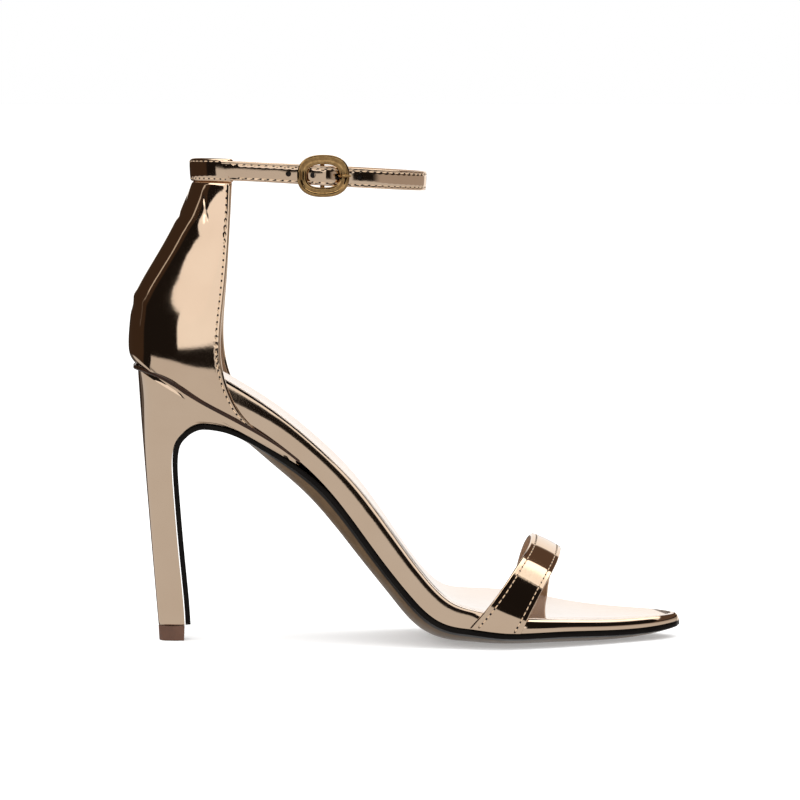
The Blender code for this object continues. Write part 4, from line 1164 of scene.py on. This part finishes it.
def nose(distance):
    """How thick the wall is near its edge, from 0 at the edge to 1 inside."""
    share = np.clip(distance / NOSE, 0, 1)
    return np.sqrt(1 - (1 - share) ** 2)


# Creases of the film, one by one: place up and round the wall, half length and
# half width in metres, the way it runs in degrees, and its depth
CREASES = (
    (0.93, -0.62, 0.0016, 0.0005, 70, 0.00012),
    (0.86, -0.70, 0.0012, 0.0005, 60, 0.00010),
    (0.96, -0.22, 0.0030, 0.0011, 80, 0.00016),
    (0.90, -0.12, 0.0040, 0.0011, 62, 0.00024),
    (0.83, 0.02, 0.0060, 0.0011, 15, 0.00045),
    (0.95, 0.35, 0.0030, 0.0009, 95, 0.00040),
    (0.88, 0.60, 0.0025, 0.0006, 110, 0.00030),
    (0.42, 0.00, 0.0085, 0.0014, 2, -0.00045),
    (0.36, 0.02, 0.0080, 0.0016, 2, 0.00030),
)


def counter_normals(outer, ups):
    """The outer skin's own normals, which lean up near the top so that it reflects higher."""
    skin = unit(np.cross(np.gradient(outer, axis=1), np.gradient(outer, axis=0)))
    away = outer[:, :, :2] - (LOOP_FRONT_X, AXIS_OFFSET)
    skin *= np.sign((skin[:, :, :2] * away).sum(axis=2))[..., None]
    skin[:, :, 2] += (TOP_LEAN * ease((ups - LEAN_FROM) / LEAN_BLEND))[:, None]
    return unit(skin)


def make_counter():
    """The wall as rings of an outer and an inner row, with its creases and edge seams."""
    ups = np.linspace(0, 1, COUNTER_RINGS)
    grid_t = np.linspace(-1, 1, COUNTER_GRID)
    mid = np.array([[counter_point(up, t, COUNTER_WALL / 2) for t in grid_t] for up in ups])
    across = np.linalg.norm(np.diff(mid, axis=1), axis=2)
    climbed = np.cumsum(np.linalg.norm(np.diff(mid, axis=0), axis=2), axis=0)
    heights = np.concatenate([np.zeros((1, len(grid_t))), climbed])
    outer, inner = [], []
    seam_lines = {-1: [], 1: []}
    front_run = {-1: heights[:, 0], 1: heights[:, -1]}
    for i, up in enumerate(ups):
        run = np.concatenate([[0], np.cumsum(across[i])])
        total = run[-1]
        middle = np.linspace(EDGE_END, total - EDGE_END, COUNTER_MIDDLE)
        places = np.concatenate([EDGE_PLACES, middle, total - EDGE_PLACES[::-1]])
        ts = np.interp(places, run, grid_t)
        ts[0], ts[-1] = -1, 1
        edge = np.minimum(places, total - places)
        high, tall = np.interp(ts, grid_t, heights[i]), np.interp(ts, grid_t, heights[-1])
        fill = nose(edge) * nose(np.minimum(high, tall - high))
        row_out, row_in = [], []
        for t, e, f in zip(ts, edge, fill):
            side = -1 if t < 0 else 1
            mark = bell((e - EDGE_SEAM) / SEAM_SPREAD)
            dent = mark * DENT_DEPTH * needle_dents(np.interp(up, ups, front_run[side]), COUNTER_PITCH)
            outside = counter_point(up, t, COUNTER_WALL / 2 * (1 - f))
            inside = counter_point(up, t, COUNTER_WALL / 2 * (1 + f))
            across_wall = unit(outside - inside) if f > 0.2 else np.zeros(3)
            row_out.append(outside - across_wall * (dent - crease(up, t, tall.mean(), total)))
            row_in.append(inside)
        outer.append(row_out)
        inner.append(row_in)
        for side, place in ((-1, EDGE_SEAM), (1, total - EDGE_SEAM)):
            t = np.interp(place, run, grid_t)
            skin = counter_point(up, t, 0.0)
            out = unit(skin - counter_point(up, t, COUNTER_WALL))
            seam_lines[side].append((skin - out * SEAM_DEPTH, out))
    outer, inner = np.array(outer), np.array(inner)
    rings = np.concatenate([outer, inner[:, ::-1]], axis=1)
    count = outer.shape[1]
    columns = np.zeros(2 * count, int)
    columns[count + 4 : 2 * count - 4] = 1
    faces = grid_faces(len(rings), 2 * count, True).tolist()
    looks = np.tile(columns, len(rings) - 1)
    last = (len(rings) - 1) * 2 * count
    for j in range(count - 1):
        faces.append([j, j + 1, 2 * count - 2 - j, 2 * count - 1 - j])
        faces.append([last + j, last + j + 1, last + 2 * count - 2 - j, last + 2 * count - 1 - j])
    looks = np.concatenate([looks, np.zeros(2 * (count - 1), int)])
    normals = np.zeros_like(rings)
    normals[2:-2, 6 : count - 6] = counter_normals(outer, ups)[2:-2, 6:-6]
    add_piece("counter_wall", rings.reshape(-1, 3), faces, ["wall", "lining"], "mirror_upper",
              ["heel_counter"], looks, normals=normals)
    seams = []
    for points in seam_lines.values():
        line, out = np.array(points[3:-3]).transpose(1, 0, 2)
        seams.append((line, out, COUNTER_PITCH))
    add_stitches("counter", seams)


def crease(up, t, tall, wide):
    """Height of the film's creases at a place on the wall."""
    height = 0.0
    for at_up, at_t, long, broad, way, depth in CREASES:
        dx, dy = (t - at_t) * wide / 2, (up - at_up) * tall
        c, s = math.cos(math.radians(way)), math.sin(math.radians(way))
        a, b = (dx * c + dy * s) / long, (-dx * s + dy * c) / broad
        height -= depth * math.exp(-(a * a + b * b) / 2)
    return height


# The tunnel, a folded band

TUNNEL_RINGS = 150
MOUTH_SHARE = 0.35
MOUTH_SHARPNESS = 1.6


def make_tunnel():
    """A band round the strap, thinned to its mouths, outside and hollow in one skin."""
    start, stop = loop_angle(TUNNEL_FRONT_X), loop_angle(TUNNEL_FRONT_X, False)
    angles = np.linspace(start, stop, TUNNEL_RINGS)
    half_gap = STRAP_THICKNESS / 2 + CLEARANCE
    skins, hollows = [], []
    line = np.column_stack([loop_point(angles, 0.0)[0], loop_height(angles)])
    run = run_of(line)
    outs, ups, mark = strap_section(TUNNEL_HEIGHT, 2 * (half_gap + TUNNEL_WALL), TUNNEL_SEAM)
    hollow_outs, hollow_ups, _ = strap_section(STRAP_WIDTH + 2 * CLEARANCE, 2 * half_gap, TUNNEL_SEAM)
    for angle, along in zip(angles, run):
        end = min(along, run[-1] - along)
        full = MOUTH_SHARE + (1 - MOUTH_SHARE) * float(nose(end * MOUTH_SHARPNESS))
        place, out = loop_point(angle, 0.0)
        centre = np.array((*place, float(loop_height(angle))))
        dent = mark * DENT_DEPTH * needle_dents(along, STITCH_PITCH)
        skin_out = hollow_outs + (outs - dent - hollow_outs) * full
        skin_up = hollow_ups + (ups - hollow_ups) * full
        skin_out, hollow_out = skin_out + skin_up * STRAP_LEAN, hollow_outs + hollow_ups * STRAP_LEAN
        skins.append(centre + np.column_stack([skin_out[:, None] * out, skin_up]))
        hollows.append(centre + np.column_stack([hollow_out[:, None] * out, hollow_ups]))
    rings = np.array(skins + hollows[::-1])
    faces = ring_faces(rings)
    looks = np.zeros(len(faces), int)
    looks[len(angles) * rings.shape[1] :] = 1
    add_piece("tunnel_band", rings.reshape(-1, 3), faces, ["upper", "lining"], "mirror_upper",
              ["strap_tunnel"], looks)
    seams = []
    for side in (-1, 1):
        up = side * (TUNNEL_HEIGHT / 2 - TUNNEL_SEAM)
        place, out = loop_point(angles[3:-3], TUNNEL_OUTSIDE - SEAM_DEPTH + up * STRAP_LEAN)
        line = np.column_stack([place, loop_height(angles[3:-3]) + up])
        seams.append((line, np.column_stack([out, np.zeros(len(out))]), STITCH_PITCH))
    add_stitches("tunnel", seams)


# The buckle


def buckle_points(pairs, height=0.0):
    """Points in the buckle's own frame: forward along the strap, and outwards."""
    angle = loop_angle(BUCKLE_X)
    place, out = loop_point(angle, 0.0)
    centre = np.array((place[0], place[1], float(loop_height(angle)) + height))
    along = np.array((-out[1], out[0], 0.0))
    outwards = np.array((out[0], out[1], 0.0))
    return [centre + along * ahead + outwards * away for ahead, away in pairs]


def sweep(line, section, closed, face):
    """Rings of a section, as pairs of sideways and outward, along a line."""
    line = np.array(line)
    if closed:
        run = unit(np.roll(line, -1, axis=0) - np.roll(line, 1, axis=0))
    else:
        run = unit(np.gradient(line, axis=0))
    side = unit(np.cross(run, np.array(face)))
    out = unit(np.cross(side, run))
    return np.array([[p + s * a + o * b for a, b in section] for p, s, o in zip(line, side, out)])


RING_SECTION = np.array([
    (1.12, -0.62), (1.15, -0.03), (1.10, 0.29), (0.87, 0.50), (0.57, 0.50), (0.34, 0.29),
    (0.13, -0.02), (-0.19, 0.11), (-0.55, 0.07), (-0.79, -0.14), (-0.84, -0.42),
    (-0.84, -0.72), (-0.40, -0.90), (0.40, -0.95), (0.90, -0.85),
])
RING_BREADTH = 1.75
RING_INWARD = 0.70
RING_SCALE = 1.05
RING_ROUNDNESS = 0.8


def make_buckle():
    """An oval ring with two soft ridges, its bar, and the prong that rests on its front."""
    angle = loop_angle(BUCKLE_X)
    _, out = loop_point(angle, 0.0)
    face = (out[0], out[1], 0.0)
    long, tall = (BUCKLE_LENGTH - BUCKLE_WIRE) / 2, (BUCKLE_HEIGHT - BUCKLE_WIRE) / 2
    ring = []
    for turn in np.linspace(0, 2 * math.pi, 97)[:-1]:
        c, s = math.cos(turn), math.sin(turn)
        ahead = long * math.copysign(abs(c) ** RING_ROUNDNESS, c)
        height = tall * math.copysign(abs(s) ** RING_ROUNDNESS, s)
        ring += buckle_points([(ahead, FRAME_OFFSET + BUCKLE_WIRE * 0.1)], height)
    section = smooth_line(np.concatenate([RING_SECTION, RING_SECTION[:1]]), 29)[:-1]
    section = (section * (RING_BREADTH, 1) - (RING_INWARD, 0)) * BUCKLE_WIRE / 2 * RING_SCALE
    rings = sweep(ring, section, True, face)
    faces = ring_faces(rings)
    add_piece("buckle_ring", rings.reshape(-1, 3), faces, ["gold"], "hardware", ["buckle_frame"], sharp=60)
    clear = STRAP_WIDTH / 2 + CLEARANCE + BAR_WIRE / 2
    bar = []
    for height, depth in ((-tall, FRAME_OFFSET * 0.9), (-tall * 0.93, FRAME_OFFSET * 0.5), (-clear, 0.0),
                          (-clear * 0.5, 0.0), (clear * 0.5, 0.0), (clear, 0.0),
                          (tall * 0.93, FRAME_OFFSET * 0.5), (tall, FRAME_OFFSET * 0.9)):
        bar += buckle_points([(0, depth)], height)
    turns = np.arange(14) * math.tau / 14
    round_section = np.stack([np.cos(turns), np.sin(turns)], axis=1)
    rings = sweep(smooth_line(bar, 40), round_section * BAR_WIRE / 2, False, face)
    add_loft("buckle_bar", rings, ["gold"], "hardware")
    high = FRAME_OFFSET + BUCKLE_WIRE / 2 + CLEARANCE + PRONG_WIRE / 2
    hole, end = PRONG_HOLE_OFFSET, long
    prong = buckle_points([
        (BAR_WIRE / 2 + CLEARANCE, 0.0), (hole * 0.62, 0.06 * high), (hole * 0.86, 0.16 * high),
        (hole * 1.06, 0.42 * high), (hole * 1.24, 0.76 * high), (end - BUCKLE_WIRE / 2, 0.98 * high),
        (end + BUCKLE_WIRE / 4, 1.03 * high), (end + BUCKLE_WIRE / 2 + PRONG_WIRE / 2, 0.98 * high),
    ])
    fine = smooth_line(prong, 60)
    rings = sweep(fine, round_section * PRONG_WIRE / 2, False, (0.0, 0.0, 1.0))
    taper = 1 - 0.45 * np.linspace(0, 1, 60) ** 3
    rings = fine[:, None] + (rings - fine[:, None]) * taper[:, None, None]
    add_loft("buckle_tongue", rings, ["gold"], "hardware", ["buckle_prong"])


# The toe strap

TOE_SEAM = 0.0020
TOE_RINGS = 330
TOE_PLACES = np.array([0, 0.06, 0.16, 0.32, 0.52, 0.8, 1.2, 1.55, 1.8, 2.0, 2.2, 2.45, 2.8, 3.3]) / 1000
TOE_DENT = 1.3
FAR_SHARE, FAR_BLEND = 0.47, 0.03


def toe_point(row, share):
    """The strap's middle surface, at share across it from -0.5 behind to 0.5 in front."""
    u = row["forward"] + share * row["across"] * TOE_STRAP_WIDTH / SOLE_LENGTH
    station = Station(u)
    off = TOE_STRAP_STANDOFF + TOE_STRAP_THICKNESS / 2
    y = station.middle + row["side"] * (float(station.half(0.0)) + off)
    foot = station.at(row["side"], 0.0, station.band)[2]
    return np.array((station.x, y, foot + (row["up"] + share * row["drop"]) * TOE_STRAP_HEIGHT))


# Where the toe strap's near half looks for its reflection, by the share along it: the
# turn and rise of that place in the studio
TOE_PATH = np.array([
    (0.000, 9, -14), (0.083, -10, -11), (0.096, -42, -5), (0.160, -48, 24),
    (0.200, -58, 38), (0.240, -68, 44), (0.250, -77, 45), (0.330, -108, 47),
    (0.340, -119, 47), (0.460, -144, 30), (0.470, -152, 27), (0.500, -163, 19),
])


def toe_normals(along, flat):
    """Normals that mirror TOE_PATH into the camera, and the strap's own on its far half."""
    turn, rise = (np.radians(np.interp(along, TOE_PATH[:, 0], TOE_PATH[:, i])) for i in (1, 2))
    mirrored = np.stack([-np.sin(turn) * np.cos(rise), -np.cos(turn) * np.cos(rise), np.sin(rise)], axis=1)
    fall = math.atan2(CAMERA_RISE, CAMERA_DISTANCE)
    seen = (math.sin(CAMERA_TURN) * math.cos(fall), math.cos(CAMERA_TURN) * math.cos(fall), -math.sin(fall))
    natural = ease((along - FAR_SHARE) / FAR_BLEND)[:, None]
    return unit(unit(mirrored - seen) * (1 - natural) + flat * natural)


def make_toe_strap():
    """The strap as rings of an outer and an inner row across it, with a seam at each edge."""
    near_shares = 0.5 - TOE_PLACES / TOE_STRAP_WIDTH
    shares = np.concatenate([-near_shares, np.linspace(-0.23, 0.23, 20), near_shares[::-1]])
    rows = [read_row(TOE_STRAP, along) for along in np.linspace(0, 1, TOE_RINGS)]
    middle = np.array([[toe_point(row, share) for share in shares] for row in rows])
    outward = unit(np.cross(np.gradient(middle, axis=1), np.gradient(middle, axis=0)))
    centre = middle[:, len(shares) // 2]
    run = run_of(centre)
    edge = (0.5 - np.abs(shares)) * TOE_STRAP_WIDTH
    fill = nose(edge * 1.3)
    swell = TOE_SWELL * (1 - (2 * shares) ** 2)
    mark = bell((edge - TOE_SEAM) / SEAM_SPREAD)
    dents = mark[None, :] * DENT_DEPTH * TOE_DENT * needle_dents(run, TOE_PITCH)[:, None]
    top = TOE_STRAP_THICKNESS / 2 * fill + swell
    outer = middle + outward * (top[None, :] - dents)[..., None]
    inner = middle - outward * (TOE_STRAP_THICKNESS / 2 * fill)[None, :, None]
    rings = np.concatenate([outer, inner[:, ::-1]], axis=1)
    count = len(shares)
    columns = np.zeros(2 * count, int)
    columns[count + 3 : 2 * count - 3] = 1
    flat = toe_normals(np.linspace(0, 1, len(rings)), unit(outward[:, 8:-8].mean(axis=1)))
    normals = np.zeros_like(rings)
    normals[1:-1, 4 : count - 4] = flat[1:-1, None]
    add_loft("toe_band", rings, ["toe", "lining"], "mirror_upper", ["toe_strap"], columns, normals=normals)
    seams = []
    for side in (-1, 1):
        share = side * (0.5 - TOE_SEAM / TOE_STRAP_WIDTH)
        column = int(np.argmin(np.abs(shares - share)))
        line, out = outer[2:-2, column] + outward[2:-2, column] * 0.00004, outward[2:-2, column]
        seams.append((line, out, TOE_PITCH))
    add_stitches("toe_strap", seams)


# The seat line, a thin dark strip in the groove between heel, counter and board: its near black colour is
# painted shade of that groove

SEAT_STRIP = 0.00085
SEAT_STRIP_OFFSET = 0.0003
SEAT_STRIP_LEAST = 0.0001
SEAT_STRIP_DROP = 0.0002
SEAT_STRIP_SWELL = 0.0009


def make_seat_line():
    """A thin tube along the seat, pushed out near the back, where the heel's cup is full. Its near black
    colour is painted shade of the groove.
    """
    shares = np.linspace(-1, 1, 241)
    line, out = [], []
    for t in shares:
        u = WING_REACH * (1 - math.cos(abs(t) * math.pi / 2))
        swell = SEAT_STRIP_SWELL * ease(abs(t) / 0.08) * (1 - ease((abs(t) - 0.4) / 0.2))
        offset = max(wing_offset(u) + SEAT_STRIP_OFFSET, SEAT_STRIP_LEAST) + swell
        line.append(seat_point(t, WING_REACH, offset) - (0, 0, SEAT_STRIP_DROP))
        out.append(unit(seat_point(t, WING_REACH, wing_offset(u) + 0.001) - line[-1]))
    line, out = np.array(line), np.array(out)
    along = unit(np.gradient(line, axis=0))
    up = unit(np.cross(along, out))
    turns = np.arange(10) * math.tau / 10
    thick = SEAT_STRIP * (1 - 0.6 * ease((np.abs(shares) - 0.7) / 0.3))
    rings = np.array([[p + (o * math.cos(a) + w * math.sin(a)) * r for a in turns]
                      for p, o, w, r in zip(line, out, up, thick)])
    add_loft("seat_shade_strip", rings, ["seat"], "mirror_sole", sharp=70)


# Camera, floor and light


def make_camera():
    data = bpy.data.cameras.new("photo_camera")
    made = bpy.data.objects.new("photo_camera", data)
    bpy.context.scene.collection.objects.link(made)
    ahead = Vector((math.sin(CAMERA_TURN), math.cos(CAMERA_TURN), 0))
    made.location = TARGET - ahead * CAMERA_DISTANCE + Vector((0, 0, CAMERA_RISE))
    made.rotation_mode = "QUATERNION"
    made.rotation_quaternion = (TARGET - made.location).to_track_quat("-Z", "Y")
    data.sensor_width = SENSOR
    data.lens = PIXELS_PER_METRE * math.hypot(CAMERA_DISTANCE, CAMERA_RISE) / FRAME_PIXELS * SENSOR
    data.clip_start, data.clip_end = 0.05, 50
    bpy.context.scene.camera = made


FLOOR_REACH = 40.0
PAPER_GLOW = 0.32


def make_floor():
    """White paper: it glows a little, so that only the shoe's near shadow shows."""
    mesh = bpy.data.meshes.new("floor")
    corners = [(x * FLOOR_REACH, y * FLOOR_REACH, 0.0) for x, y in ((-1, -1), (1, -1), (1, 1), (-1, 1))]
    mesh.from_pydata(corners, [], [(0, 1, 2, 3)])
    floor = bpy.data.objects.new("floor", mesh)
    bpy.context.scene.collection.objects.link(floor)
    made, tree, shader = shader_of("floor_paper")
    feed(tree, shader, {
        "Base Color": (0.8, 0.8, 0.8, 1), "Roughness": 1.0, "Specular IOR Level": 0.0,
        "Emission Color": (1, 1, 1, 1), "Emission Strength": PAPER_GLOW,
    })
    floor.data.materials.append(made)
    floor.visible_glossy = False


# What the mirror film reflects, a row for each panel of the studio. A turn is degrees
# from the camera's side towards the heel, or with back, from behind towards the toe.
# A slanted panel's turns are those at the rise of PIVOT, and change with the rise.
PIVOT = 30
PANEL_COLUMNS = (
    "side", "turn_low", "turn_high", "slant_low", "slant_high", "rise_low", "rise_high", "soft", "light",
)
PANELS = (
    ("front", 95, 165, 0, 0, -8.5, 90, 5, (0.040, 0.024, 0.015)),
    ("front", 148, 165, 0, 0, -30, -8.5, 6, (0.060, 0.040, 0.028)),
    ("front", -26, 42.6, 0, 0.35, 3, 19, 2, (0.90, 0.89, 0.88)),
    ("front", 14, 71, 0, 2.55, 12, 46, 2, (0.92, 0.90, 0.89)),
    ("front", -26, 78, 0, 0, -9.5, -4.3, 1.6, (0.54, 0.53, 0.52)),
    ("front", -26, -3, 0, 0, -8.5, 3, 2, (0.54, 0.53, 0.52)),
    ("front", -150, -52, 0, 0, -9.5, 6, 12, (0.36, 0.32, 0.29)),
    ("front", -94, -80, -1.2, 0.58, 20, 66, 4, (1.0, 0.99, 0.97)),
    ("front", -146, -94, 0, -1.2, 12, 66, 4, (0.095, 0.060, 0.042)),
    ("front", 106, 109, 0, 0, 24, 36, 2, (0.60, 0.55, 0.50)),
    ("front", 107, 109, 0, 0, 6, 24, 2, (0.12, 0.10, 0.09)),
    ("back", -12, 38, 0, 0, -25, 45, 5, (1.0, 0.985, 0.965)),
    ("back", -15, -4, 0, 0, -13, 0.5, 2, (0.03, 0.022, 0.018)),
    ("back", 4, 15, 0, 0, -13, 0.5, 2, (0.03, 0.022, 0.018)),
)
SKY = (0.010, 0.008, 0.007)
GROUND = (0.54, 0.53, 0.52)
CEILING = (1.9, 1.85, 1.75)
CEILING_X = (-1.3, 1.05)
CEILING_Y = (-0.42, 0.42)
CEILING_SOFT = 0.06
GROUND_RISE = -8.5
TENT = (1.05, 1.05, 1.05)


def calc(tree, operation, *values):
    return node(tree, "ShaderNodeMath", dict(enumerate(values)), operation=operation).outputs[0]


def step(tree, value, at, soft, way=1):
    """Rises softly from 0 to 1 where value passes a place, or falls with way -1."""
    inputs = {"Value": value, "From Min": at - soft / 2, "From Max": at + soft / 2}
    if way < 0:
        inputs |= {"To Min": 1, "To Max": 0}
    return node(tree, "ShaderNodeMapRange", inputs, interpolation_type="SMOOTHSTEP").outputs["Result"]


def window(tree, value, low, high, soft):
    return calc(tree, "MULTIPLY", step(tree, value, low, soft), step(tree, value, high, soft, -1))


def layer(tree, base, mask, color):
    """A colour laid over a base, a colour or a socket, where the mask is 1."""
    base = (*base, 1) if isinstance(base, tuple) else base
    inputs = {"Factor": mask, 6: base, 7: (*color, 1)}
    return node(tree, "ShaderNodeMix", inputs, data_type="RGBA").outputs[2]


def make_studio():
    """The world: panels for the mirror, a white tent for soft light, white for the camera."""
    world = bpy.data.worlds.new("studio")
    bpy.context.scene.world = world
    world.use_nodes = True
    tree = world.node_tree
    tree.nodes.clear()
    way = node(tree, "ShaderNodeTexCoord", {}).outputs["Generated"]
    x, y, z = node(tree, "ShaderNodeSeparateXYZ", {0: way}).outputs
    rise = calc(tree, "MULTIPLY", calc(tree, "ARCSINE", z), math.degrees(1))
    minus_x, minus_y = calc(tree, "MULTIPLY", x, -1.0), calc(tree, "MULTIPLY", y, -1.0)
    turns = {
        "front": calc(tree, "MULTIPLY", calc(tree, "ARCTAN2", minus_x, minus_y), math.degrees(1)),
        "back": calc(tree, "MULTIPLY", calc(tree, "ARCTAN2", x, y), math.degrees(1)),
    }
    over = calc(tree, "SUBTRACT", rise, PIVOT)
    light = layer(tree, SKY, window(tree, rise, -95, GROUND_RISE, 2), GROUND)
    for row in PANELS:
        panel = dict(zip(PANEL_COLUMNS, row))
        turn, soft = turns[panel["side"]], panel["soft"]
        low = calc(tree, "MULTIPLY_ADD", over, -panel["slant_low"], turn)
        high = calc(tree, "MULTIPLY_ADD", over, -panel["slant_high"], turn)
        mask = calc(tree, "MULTIPLY", step(tree, low, panel["turn_low"], soft),
                    step(tree, high, panel["turn_high"], soft, -1))
        band = window(tree, rise, panel["rise_low"], panel["rise_high"], min(soft, 3))
        mask = calc(tree, "MULTIPLY", mask, band)
        light = layer(tree, light, mask, panel["light"])
    safe = calc(tree, "MAXIMUM", z, 0.02)
    mask = calc(tree, "MULTIPLY", window(tree, calc(tree, "DIVIDE", x, safe), *CEILING_X, CEILING_SOFT),
                window(tree, calc(tree, "DIVIDE", y, safe), *CEILING_Y, CEILING_SOFT))
    light = layer(tree, light, calc(tree, "MULTIPLY", mask, calc(tree, "GREATER_THAN", z, 0.1)), CEILING)
    paths = node(tree, "ShaderNodeLightPath", {}).outputs
    light = layer(tree, light, paths["Is Diffuse Ray"], TENT)
    light = layer(tree, light, paths["Is Camera Ray"], (1.0, 1.0, 1.0))
    back = node(tree, "ShaderNodeBackground", {"Color": light})
    node(tree, "ShaderNodeOutputWorld", {"Surface": back.outputs[0]})


# Each lamp's name, place, size and power in watts
LAMPS = (
    ("top_light", (0.15, -0.25, 1.3), (1.4, 1.2), 9),
    ("front_light", (-0.5, -1.5, 0.9), (1.0, 1.0), 6),
)


def make_lamp(name, place, size, power):
    data = bpy.data.lights.new(name, "AREA")
    data.shape = "RECTANGLE"
    data.size, data.size_y = size
    data.energy = power
    made = bpy.data.objects.new(name, data)
    bpy.context.scene.collection.objects.link(made)
    made.location = place
    made.rotation_mode = "QUATERNION"
    made.rotation_quaternion = (-Vector(place)).to_track_quat("-Z", "Y")
    made.visible_glossy = False


def local_shift():
    """The tables' frame to the row's: across by the board's middle, along by the tunnel."""
    edges = [Station(u).at(np.array((-1.0, 1.0)), 0.0, 0.0015) for u in np.linspace(0, 1, 801)]
    wide = np.concatenate(edges)[:, 1]
    low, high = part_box("midsole")
    across = (low.y + high.y) / 2 - (wide.min() + wide.max()) / 2
    tunnel_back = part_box("strap_tunnel")[0].x
    lengthwise = tunnel_back - (LOOP_BACK_X - TUNNEL_OUTSIDE)
    return np.array((lengthwise, across, 0.0))


SHIFT = local_shift()
make_camera()
make_floor()
make_studio()
for lamp in LAMPS:
    make_lamp(*lamp)
make_board()
make_sock()
make_heel()
make_sole_sheet()
make_seat_line()
make_counter()
make_tunnel()
make_ankle_strap()
make_buckle()
make_toe_strap()
bpy.context.scene.view_settings.view_transform = "Standard"
